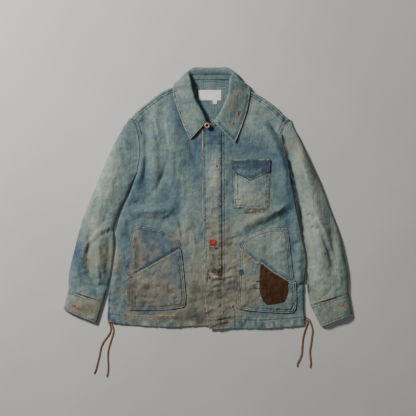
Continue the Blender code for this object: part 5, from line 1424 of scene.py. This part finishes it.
def stand_section(station):
    neck, fold, edge, height = station
    neck, fold, edge = (np.array(p, float) for p in (neck, fold, edge))
    way = (edge - fold) / np.linalg.norm(edge - fold)
    top = fold + way * 5.0
    lean = (neck - top) / np.linalg.norm(neck - top)
    low_z = float(front_plain(*neck)) - WALL / 2 + 0.4
    return [(*(neck - lean * 1.2), low_z), (*(top + lean * 1.0), height - 7.9)]


def border_pairs(rows, columns):
    """Neighbouring points of a grid's border, once round."""
    border = [(0, c) for c in range(columns)] + [(r, columns - 1) for r in range(1, rows)]
    border += [(rows - 1, c) for c in range(columns - 2, -1, -1)]
    border += [(r, 0) for r in range(rows - 2, 0, -1)]
    border = [r * columns + c for r, c in border]
    return zip(border, border[1:] + border[:1])


def grid_solid(name, grid, thickness, relief, mat, colours):
    """Closed wall on a grid; relief raises its outer face."""
    normal = np.cross(np.gradient(grid, axis=0), np.gradient(grid, axis=1))
    normal /= np.linalg.norm(normal, axis=2)[:, :, None]
    rows, columns = grid.shape[:2]
    points = np.vstack([(grid + normal * (thickness / 2)).reshape(-1, 3),
                        (grid - normal * (thickness / 2 + relief[:, :, None])).reshape(-1, 3)])
    half = rows * columns
    faces = []
    for r in range(rows - 1):
        for c in range(columns - 1):
            a = r * columns + c
            quad = (a, a + columns, a + columns + 1, a + 1)
            faces.append(quad)
            faces.append(tuple(half + k for k in reversed(quad)))
    faces += [(a, b, half + b, half + a) for a, b in border_pairs(rows, columns)]
    return add_mesh(name, points, faces, mat, np.vstack([colours, colours]))


leaf = [leaf_section(s) for s in FRONT_STATIONS_RIGHT] + WRAP_RIGHT
leaf += [[(x, y, z) for y, z in BACK_SECTION] for x in BACK_SECTION_X] + WRAP_LEFT
leaf += [leaf_section(s) for s in FRONT_STATIONS_LEFT]
grid = grid_from(leaf, 240, 60)
x, y, z = grid.transpose(2, 0, 1)
lying = left_plain(x, y) + GAP + COLLAR_WALL / 2 + LEAF_CLEAR + 0.4
over_front = (z > 9.0) & (y < 322) & (np.abs(x - 8) > 24)
grid[:, :, 2] = np.where(over_front, np.maximum(z, lying), np.maximum(z, COLLAR_WALL / 2 + 0.02))


# Creases of the leaf, in pixels of the picture: path, height and half width in millimetres
LEAF_FOLDS = [
    ([(180.5, 105), (188, 103.5), (196, 102.2)], -1.5, 3.2),
    ([(182, 87), (190, 89.5), (196, 88.5)], -0.8, 4.0),
    ([(218, 123.8), (225, 122.8), (232, 120)], -1.5, 3.6),
    ([(229, 101), (233, 96), (238, 91), (244, 89)], 1.6, 6.0),
    ([(231, 90), (236, 87), (240, 83)], -1.4, 4.0), ([(232, 119), (235, 110), (239, 101)], -1.5, 6.5),
    ([(241, 96), (243, 88), (241, 80)], -1.0, 5.0),
]


def edge_distance(grid):
    """Distance of each grid point from the leaf's free edge and its two ends, along the grid."""
    rows = np.linalg.norm(np.diff(grid, axis=0), axis=2)
    columns = np.linalg.norm(np.diff(grid, axis=1), axis=2)
    from_start = np.concatenate([np.zeros((1, grid.shape[1])), np.cumsum(rows, axis=0)])
    to_end = from_start[-1] - from_start
    across = np.concatenate([np.zeros((grid.shape[0], 1)), np.cumsum(columns, axis=1)], axis=1)
    return np.minimum(np.minimum(from_start, to_end), across[:, -1:] - across)


away = edge_distance(grid)
gx, gy = grid[:, :, 0], grid[:, :, 1]
leaf_relief = 0.5 * noise(gx, gy, 18, 2) + 0.3 * noise(gx, gy, 8, 4) - 0.7 * creases(gx, gy, 34, 1, 1.0, 60)
leaf_folds = fold_height(in_millimetres(LEAF_FOLDS), gx, gy)
leaf_relief = (leaf_relief + leaf_folds) * smooth_step(2, 14, away)
pucker = noise(gx + gy, gx - gy, 4.4, 3)
for line in (3.2, 9.0):
    leaf_relief = leaf_relief - 0.55 * falloff(away - line, 1.3)
    leaf_relief = leaf_relief + 0.3 * pucker * falloff(away - line, 3.5)
colours = paint(gx.ravel(), gy.ravel(), fade=0.60, table=LEAF_FADE)
colours[:, 0] = np.clip(colours[:, 0] + 0.10 * leaf_folds.ravel(), 0, 1)
dash = np.clip(0.66 + 0.75 * pucker, 0, 1).ravel()
flat_away = away.ravel()
for line, amount in ((3.4, 0.95), (9.0, 0.7)):
    colours[:, 2] = np.maximum(colours[:, 2], amount * dash * falloff(flat_away - line, 1.6))
colours[:, 0] = np.clip(colours[:, 0] + 0.22 * (1.2 - dash) * falloff(flat_away - 6.2, 1.8), 0, 1)
blue_rim = ((gx > 30) & (gy < 300)).ravel() * falloff(flat_away - 6.5, 2.6)
colours[:, 0] = np.clip(colours[:, 0] - 0.45 * blue_rim, 0, 1)
colours[:, 1] = np.clip(colours[:, 1] - 0.60 * blue_rim, 0, 1)
frayed = np.clip(0.75 + 0.6 * noise(gx, gy, 7, 0) + 0.3 * noise(gx, gy, 24, 5), 0.1, 1).ravel()
colours[:, 3] = frayed * falloff(flat_away, 1.8)
leaf_obj = grid_solid("collar_leaf_cloth", grid, COLLAR_WALL, leaf_relief, DENIM, colours)
finish_piece(leaf_obj, "denim", "collar_leaf")

stand = [stand_section(s) for s in FRONT_STATIONS_RIGHT] + STAND_WRAP_RIGHT
stand += [[(x, y, z) for y, z in STAND_BACK] for x in BACK_SECTION_X] + STAND_WRAP_LEFT
stand += [stand_section(s) for s in FRONT_STATIONS_LEFT] + [STAND_TAB]
across = []
for low_end, high_end in stand:
    low_end, high_end = np.array(low_end, float), np.array(high_end, float)
    across.append([low_end + (high_end - low_end) * t for t in (0.0, 0.34, 0.67, 1.0)])
stand_grid = grid_from(across, 200, 10)
sx, sy = stand_grid[:, :, 0], stand_grid[:, :, 1]
stand_relief = 0.15 * noise(sx, sy, 9, 1)
colours = paint(sx.ravel(), sy.ravel(), fade=0.80, table=[])
stand_obj = grid_solid("collar_stand_cloth", stand_grid, STAND_WALL, stand_relief, INDIGO, colours)
finish_piece(stand_obj, "indigo", "collar_stand")

# Button and labels

copper = Graph("button_copper")
spots_noise = copper.noise(copper.coords(), 620, 4, 0.65)
copper.shader.inputs["Metallic"].default_value = 0.35
copper.done(copper.ramp(spots_noise, [(0.3, rgb(112, 82, 64)), (0.62, rgb(198, 160, 134))]),
            copper.math("MULTIPLY_ADD", spots_noise, 0.4, 0.36), copper.bump(spots_noise, 0.4, 0.0003), 0.4)
# Near-black disc in the button's hole: painted shadow standing for the shaded cloth under it
hole_shade = Graph("button_hole_shade")
hole_shade.done(rgb(14, 12, 12), 0.8)


def lathe(name, centre, base_z, profile, mat, sides=56):
    points, rings = [], []
    for radius, z in profile:
        if radius == 0:
            rings.append([len(points)])
            points.append((*centre, base_z + z))
            continue
        rings.append(list(range(len(points), len(points) + sides)))
        for k in range(sides):
            turn = 2 * math.pi * k / sides
            x, y = centre[0] + radius * math.cos(turn), centre[1] + radius * math.sin(turn)
            points.append((x, y, base_z + z))
    faces = []
    for a, b in zip(rings[:-1], rings[1:]):
        for k in range(sides):
            n = (k + 1) % sides
            if len(a) == 1:
                faces.append((a[0], b[k], b[n]))
            elif len(b) == 1:
                faces.append((a[n], a[k], b[0]))
            else:
                faces.append((a[n], a[k], b[k], b[n]))
    return add_mesh(name, points, faces, mat, sharp=35, keep=False)


# Radius and height of the button's outline, from the hollow over the rim to its foot
button_profile = [(0, 0.9), (2.9, 0.9), (3.2, 1.2), (3.3, 2.3), (3.5, 3.3), (3.9, 3.9), (4.6, 4.5),
                  (5.6, 4.8), (6.6, 4.75), (7.4, 4.4), (8.0, 3.8), (8.5, 3.1), (8.7, 2.4), (8.5, 1.8),
                  (7.8, 1.2), (6.0, 0.9), (4.2, 0.7), (3.2, 0.5), (3.1, 0.0), (0, 0)]
button = lathe("button_ring", BUTTON_CENTRE, BUTTON_SEAT_Z, button_profile, copper.mat)
finish_piece(button, "copper", "button")
# Painted shadow disc in the button's hole
hollow = lathe("button_hole_shadow", BUTTON_CENTRE, BUTTON_SEAT_Z, [(0, 1.7), (3.35, 1.7), (3.35, 1.1), (0, 1.1)],
               hole_shade.mat, 32)
finish_piece(hollow, "copper")

label_cloth = plain_cloth("label_cloth", rgb(248, 247, 243), rgb(226, 224, 217), 420)


def woven_label(name, box, node):
    """Bare woven strip with a shallow swell, inside the back neck."""
    x0, x1, y0, y1 = box
    nx, ny = 34, 16
    base = NECK_LIFT + WALL + GAP
    top, low = [], []
    for j in range(ny + 1):
        for i in range(nx + 1):
            x, y = x0 + (x1 - x0) * i / nx, y0 + (y1 - y0) * j / ny
            swell = 0.35 * math.sin(i / nx * 9) * math.sin(j / ny * math.pi) + 0.3
            top.append((x, y, base + 0.7 + swell * min(1, 4 * j / ny) * min(1, 4 * (ny - j) / ny)))
            low.append((x, y, base))
    half = len(top)
    faces = []
    for j in range(ny):
        for i in range(nx):
            a = j * (nx + 1) + i
            faces.append((a, a + 1, a + nx + 2, a + nx + 1))
            faces.append((half + a + nx + 1, half + a + nx + 2, half + a + 1, half + a))
    faces += [(b, a, half + a, half + b) for a, b in border_pairs(ny + 1, nx + 1)]
    return finish_piece(add_mesh(name, top + low, faces, label_cloth), "label", node)


label = woven_label("label_cloth_piece", LABEL_BOX, "label")
tab = woven_label("size_tab_piece", TAB_BOX, "size_tab")

# Sewing, darns and frays, dropped onto the cloth from above

all_points, all_faces = [], []
for points, faces in solids:
    start = len(all_points)
    all_points += points.tolist()
    all_faces += [tuple(k + start for k in f) for f in faces]
tree = BVHTree.FromPolygons(all_points, all_faces)
ABOVE_ALL = 0.1         # metres over the floor, higher than any cloth


def surface(x, y):
    """Height of the uppermost cloth, in millimetres, or None beside it."""
    hit = tree.ray_cast(Vector((x * MM, y * MM, ABOVE_ALL)), Vector((0, 0, -1)))[0]
    return hit.z / MM if hit else None


def walk(path):
    """Length of a path in plan, and a function that gives its point at a distance along it."""
    path = np.array(path, float)
    reach = np.concatenate([[0], np.cumsum(np.hypot(*np.diff(path, axis=0).T))])
    return reach[-1], lambda at: np.array([np.interp(at, reach, path[:, c]) for c in (0, 1)])


# Share of a stitch's length and of its radius, at each of its rings
STITCH_RING = [(0.0, 0.25), (0.25, 0.8), (0.5, 1.0), (0.75, 0.8), (1.0, 0.25)]
# Lift over the cloth, rise of the arch, and the most that the two ends may differ in height
STITCH_LIFT, STITCH_RISE, STITCH_STEEP = 0.15, 0.25, 1.6
DARN_LIFT, DARN_RISE, DARN_STEEP = 0.25, 0.5, 3
FRINGE_RADIUS, FRINGE_LIFT = 0.14, 0.3


class Sewing:
    """Stitches of one colour, gathered into one mesh."""

    def __init__(self, colour):
        self.name, self.mat = "threads_" + colour, THREADS[colour]
        self.points, self.faces = [], []

    def add(self, start, end, radius, rise, sides=4):
        """One stitch from point to point, arched over the cloth."""
        start, end = np.array(start, float), np.array(end, float)
        along = end - start
        length = np.linalg.norm(along)
        if length < 0.2:
            return
        along /= length
        side = np.array([-along[1], along[0], 0.0])
        side /= max(np.linalg.norm(side), 1e-6)
        up = np.cross(along, side)
        up = up if up[2] > 0 else -up
        base = len(self.points)
        for share, size in STITCH_RING:
            centre = start + along * length * share + up * (rise * math.sin(math.pi * share) - 0.12)
            for k in range(sides):
                turn = 2 * math.pi * k / sides
                self.points.append(centre + (side * math.cos(turn) + up * math.sin(turn)) * radius * size)
        for r in range(len(STITCH_RING) - 1):
            for k in range(sides):
                n = (k + 1) % sides
                a = base + r * sides
                self.faces.append((a + k, a + n, a + sides + n, a + sides + k))
        self.faces.append(tuple(base + k for k in range(sides))[::-1])
        last = base + (len(STITCH_RING) - 1) * sides
        self.faces.append(tuple(last + k for k in range(sides)))

    def lay(self, start, end, lift, steep, radius, rise):
        """One stitch between two places in plan, left out beside the cloth or where it is too steep."""
        seats = surface(*start), surface(*end)
        if None not in seats and abs(seats[0] - seats[1]) <= steep:
            self.add((*start, seats[0] + lift), (*end, seats[1] + lift), radius, rise)

    def row(self, path, pitch=3.6, length=2.4, radius=0.42, skip=0.0, seed=0):
        """Running stitches along a path in plan, each lying on the cloth."""
        total, point = walk(path)
        chance = np.random.default_rng(seed + len(path))
        for at in np.arange(0.5, total - length, pitch):
            if chance.random() >= skip:
                self.lay(point(at), point(at + length), STITCH_LIFT, STITCH_STEEP, radius, STITCH_RISE)

    def cluster(self, px, py, count, reach, turn, length, radius=0.4, spread=20):
        """A hand-sewn mark: stitches scattered about a pixel of the picture."""
        chance = np.random.default_rng(int(px * 7 + py))
        cx, cy = place(px, py)
        for _ in range(count):
            way = math.radians(turn + chance.normal(0, spread))
            x, y = cx + chance.normal(0, reach[0]), cy + chance.normal(0, reach[1])
            size = length * chance.uniform(0.6, 1.3)
            dx, dy = math.cos(way) * size / 2, math.sin(way) * size / 2
            self.lay((x - dx, y - dy), (x + dx, y + dy), DARN_LIFT, DARN_STEEP, radius, DARN_RISE)

    def fringe(self, path, outward, length, pitch, seed):
        """Short loose threads along an edge; outward is 1 to the left of the path and -1 to its right."""
        total, point = walk(path)
        chance = np.random.default_rng(seed + 91)
        for at in np.arange(0.3, total - 1, pitch):
            a, b = point(at), point(at + 1.0)
            along = (b - a) / max(np.linalg.norm(b - a), 1e-6)
            out = np.array([-along[1], along[0]]) * outward
            root = a - out * chance.uniform(0.2, 1.4)
            seat = surface(*root)
            if seat is None:
                continue
            size = length * chance.uniform(0.3, 1.0)
            tip = root + out * size + along * chance.normal(0, 0.6) * size
            tip_z = seat + FRINGE_LIFT * chance.normal(0.2, 0.5)
            self.add((*root, seat + 0.1), (*tip, tip_z), FRINGE_RADIUS, 0.3, 3)

    def done(self):
        finish_piece(add_mesh(self.name, self.points, self.faces, self.mat, keep=False), "denim_pale")


SEWING = [Sewing(colour) for colour in THREAD_COLOURS]
navy, pale, cream, brown, red, orange, yellow, white, dark = SEWING

for index, (path, _) in enumerate(SEAMS_RIGHT + SEAMS_LEFT):
    navy.row(path, skip=0.12, seed=index)
    pale.row(moved_left(np.asarray(path), 1.3), pitch=4.8, skip=0.6, seed=60 + index)
for index, ring in enumerate((RING_R, RING_L)):
    for depth in POCKET_SEAMS:
        navy.row(ring_of(shrunk(ring, depth)), skip=0.15, seed=index)
    cream.row(ring_of(shrunk(ring, 1.2)), pitch=4.6, skip=0.68, seed=index)
for index, (mouth, above) in enumerate(((MOUTH_R, 1), (MOUTH_L, -1))):
    cream.row(moved_left(mouth, -1.2 * above), pitch=3.2, skip=0.15, seed=index)
    brown.row(moved_left(mouth, -3.8 * above), pitch=4.2, skip=0.3, seed=index)
    navy.row(moved_left(mouth, -8.4 * above), skip=0.2, seed=index)
    white.fringe(mouth, above, 2.4, 0.7, seed=index)
for depth in (2.5, 7.5):
    brown.row(ring_of(shrunk(CHEST, depth)), skip=0.1, seed=3)
for depth in (2.5, 7.0):
    pale.row(ring_of(shrunk(FLAP, depth)), skip=0.2, seed=4)
cream.row(fly + [1.6, 0], pitch=4.4, skip=0.35)
navy.row(fly + [8.5, 0], skip=0.15)
navy.row(open_line([(32.5, 185), (32.5, -222)]), skip=0.25, seed=3)
navy.row(open_line([(-9, 130), (-9, -150)]), pitch=6.5, skip=0.3, seed=6)
white.fringe(fly, -1, 2.2, 0.8, seed=5)
for path, _ in cuff_r_lines + cuff_l_lines:
    pale.row(path, skip=0.1, seed=8)

leaf_rim = grid[:, -1][:, :2]
front_rim = (spline(grid[0][:, :2], 60), spline(grid[-1][:, :2], 60))
for index, (path, way) in enumerate(((leaf_rim, 1), (front_rim[0], 1), (front_rim[1], -1))):
    white.fringe(path, -way, 2.2, 0.6, seed=20 + index)
    cream.row(moved_left(np.asarray(path)[::2], 1.2 * way), pitch=3.8, skip=0.3, seed=30 + index)
    navy.row(moved_left(np.asarray(path)[::2], 3.6 * way), pitch=3.8, skip=0.15, seed=40 + index)
    navy.row(moved_left(np.asarray(path)[::2], 9.0 * way), pitch=4.4, skip=0.3, seed=50 + index)

for px, py, count, turn in ((238.8, 113.2, 9, 76), (232.9, 124.7, 5, 70)):
    red.cluster(px, py, count, (1.6, 3.2), turn, 6.5)
    orange.cluster(px + 0.6, py, 4, (1.5, 3), turn, 5)
for px, py, count in ((74.6, 305.6, 14), (67.2, 303.4, 6), (78.6, 308.3, 8), (100.0, 312.8, 3)):
    red.cluster(px, py, count, (4.0, 1.8), -12, 8)
for px, py, count in ((341.6, 305.6, 9), (349.6, 305.2, 5), (314.8, 303.0, 4), (326.4, 299.0, 4)):
    orange.cluster(px, py, count, (4.0, 1.6), 14, 7)
for px, py, count in ((205.0, 219.0, 8), (205.4, 289.0, 14), (205.0, 309.7, 7)):
    red.cluster(px, py, count, (1.3, 5.0), 86, 5.0)
    orange.cluster(px, py, count // 2, (1.6, 6.0), 86, 5.0)
# Thread, pixel x and y of the picture, count, reach both ways and turn, then length, radius and spread
MENDS = [
    (red, 208.3, 227.8, 12, (2.4, 2.4), 20, 5, 0.4, 60),
    (yellow, 164.5, 315.2, 40, (27, 1.3), 2, 11, 0.45, 5), (yellow, 84.7, 276.4, 4, (2.5, 1.2), 0, 7),
    (white, 267.8, 136.1, 10, (6.0, 2.6), 30, 4.5, 0.3, 50),
    (white, 210.0, 234.0, 7, (1.6, 5.0), 74, 9, 0.4, 14),
    (brown, 258.0, 212.0, 44, (26, 2.0), 4, 9, 0.42, 16),
    (cream, 257.0, 211.2, 40, (24, 2.2), 2, 8, 0.45, 20),
    (navy, 264.0, 210.2, 12, (18, 1.4), 6, 8, 0.3, 12), (orange, 260.7, 182.7, 4, (3.2, 1.0), 16, 6),
    (white, 241.0, 166.0, 8, (5.0, 1.4), 4, 6, 0.3, 20),
    (brown, 267.0, 196.0, 12, (1.5, 16), 88, 5, 0.35, 12),
    (cream, 214.5, 273.5, 18, (7, 5), 30, 8, 0.42, 70),
    (white, 212.2, 273.6, 14, (2.6, 1.6), -40, 7, 0.62, 26),
    (white, 214.4, 276.2, 18, (3.4, 1.6), -30, 7, 0.62, 26),
    (white, 217.2, 276.4, 12, (2.4, 1.4), 20, 7, 0.62, 26),
    (white, 218.6, 267.2, 14, (6, 0.9), 6, 7, 0.62, 26),
    (white, 211.2, 277.5, 6, (1.2, 4.0), 100, 7, 0.62, 26),
    (dark, 212.5, 271.2, 10, (5, 1.6), 40, 8, 0.5, 30), (dark, 218.5, 273.0, 10, (2, 5), 100, 8, 0.5, 30),
    (dark, 209.4, 277.0, 8, (1.4, 6), 80, 8, 0.45, 20),
    (dark, 217.3, 166.3, 12, (1.5, 1.5), 0, 3.5, 0.5, 90),
    (dark, 257.5, 281.0, 9, (9, 0.8), 2, 8, 0.38, 8), (dark, 258.5, 288.0, 9, (9, 0.8), 4, 8, 0.38, 8),
    (dark, 213.5, 248.3, 9, (8, 1.6), 8, 7, 0.42, 24), (dark, 210.2, 245.5, 6, (1.6, 6), 80, 7, 0.4, 20),
    (dark, 131.0, 276.5, 10, (2.4, 2.2), 0, 5, 0.6, 70),
    (dark, 105.5, 296.0, 8, (2.2, 3.0), 60, 5, 0.5, 60),
    (brown, 216.5, 270.0, 20, (9, 7), 10, 9, 0.45, 80), (navy, 212.0, 269.5, 14, (8, 4), 10, 9, 0.5, 60),
    (white, 156.0, 328.0, 3, (1.5, 1.0), 50, 8, 0.3, 30),
]
for stitches, *mend in MENDS:
    stitches.cluster(*mend)


def sewn_patch(name, px, py, half_x, half_y, mat, seed):
    """Small ragged patch that follows the cloth under it, closed all round."""
    cx, cy = place(px, py)
    sides, rings = 40, 7
    plan = [(cx, cy)]
    for r in range(1, rings + 1):
        for k in range(sides):
            turn = 2 * math.pi * k / sides
            wobble = 1 + 0.24 * noise(np.array([k * 1.0]), np.array([0.0]), 3.0, seed)[0]
            square = (abs(math.cos(turn)) ** 2.3 + abs(math.sin(turn)) ** 2.3) ** (-1 / 2.3)
            plan.append((cx + half_x * r / rings * math.cos(turn) * wobble * square,
                         cy + half_y * r / rings * math.sin(turn) * wobble * square))
    seats = [surface(*p) or LOWEST_TOP for p in plan]
    last = 1 + (rings - 1) * sides
    low = [(x, y, z + 0.15) for (x, y), z in zip(plan, seats)]
    top = [(x, y, z + (0.8 if k < last else 0.55)) for k, ((x, y), z) in enumerate(zip(plan, seats))]
    half = len(plan)
    faces = []
    for k in range(sides):
        n = (k + 1) % sides
        faces += [(0, 1 + k, 1 + n), (half, half + 1 + n, half + 1 + k)]
        faces.append((last + k, half + last + k, half + last + n, last + n))
        for r in range(rings - 1):
            a, b = 1 + r * sides + k, 1 + r * sides + n
            faces += [(a, a + sides, b + sides, b), (half + b, half + b + sides, half + a + sides, half + a)]
    obj = finish_piece(add_mesh(name, top + low, faces, mat, keep=False), "denim_pale")


sewn_patch("red_patch", 213.0, 242.4, 10.5, 9.5, RED_CLOTH, 1)
sewn_patch("blue_patch", 241.3, 271.8, 6.4, 8.0, BLUE_CLOTH, 2)
brown.cluster(213.0, 242.4, 12, (5, 5), 30, 6, 0.4, 80)
red.cluster(213.0, 242.4, 14, (8, 7), 30, 5, 0.4, 80)
white.cluster(243.3, 266.6, 14, (6, 3), 40, 6, 0.4, 60)
navy.cluster(241.3, 272.0, 10, (5, 5), 60, 6, 0.4, 60)
dark.row(patch_seam[0], pitch=3.0, length=2.6, radius=0.6, skip=0.1)
dark.row(ring_of(BROWN), pitch=3.4, radius=0.4, skip=0.2)
brown.row(ring_of(shrunk(BROWN, 2.0)), pitch=5.0, skip=0.2)

for stitches in SEWING:
    stitches.done()
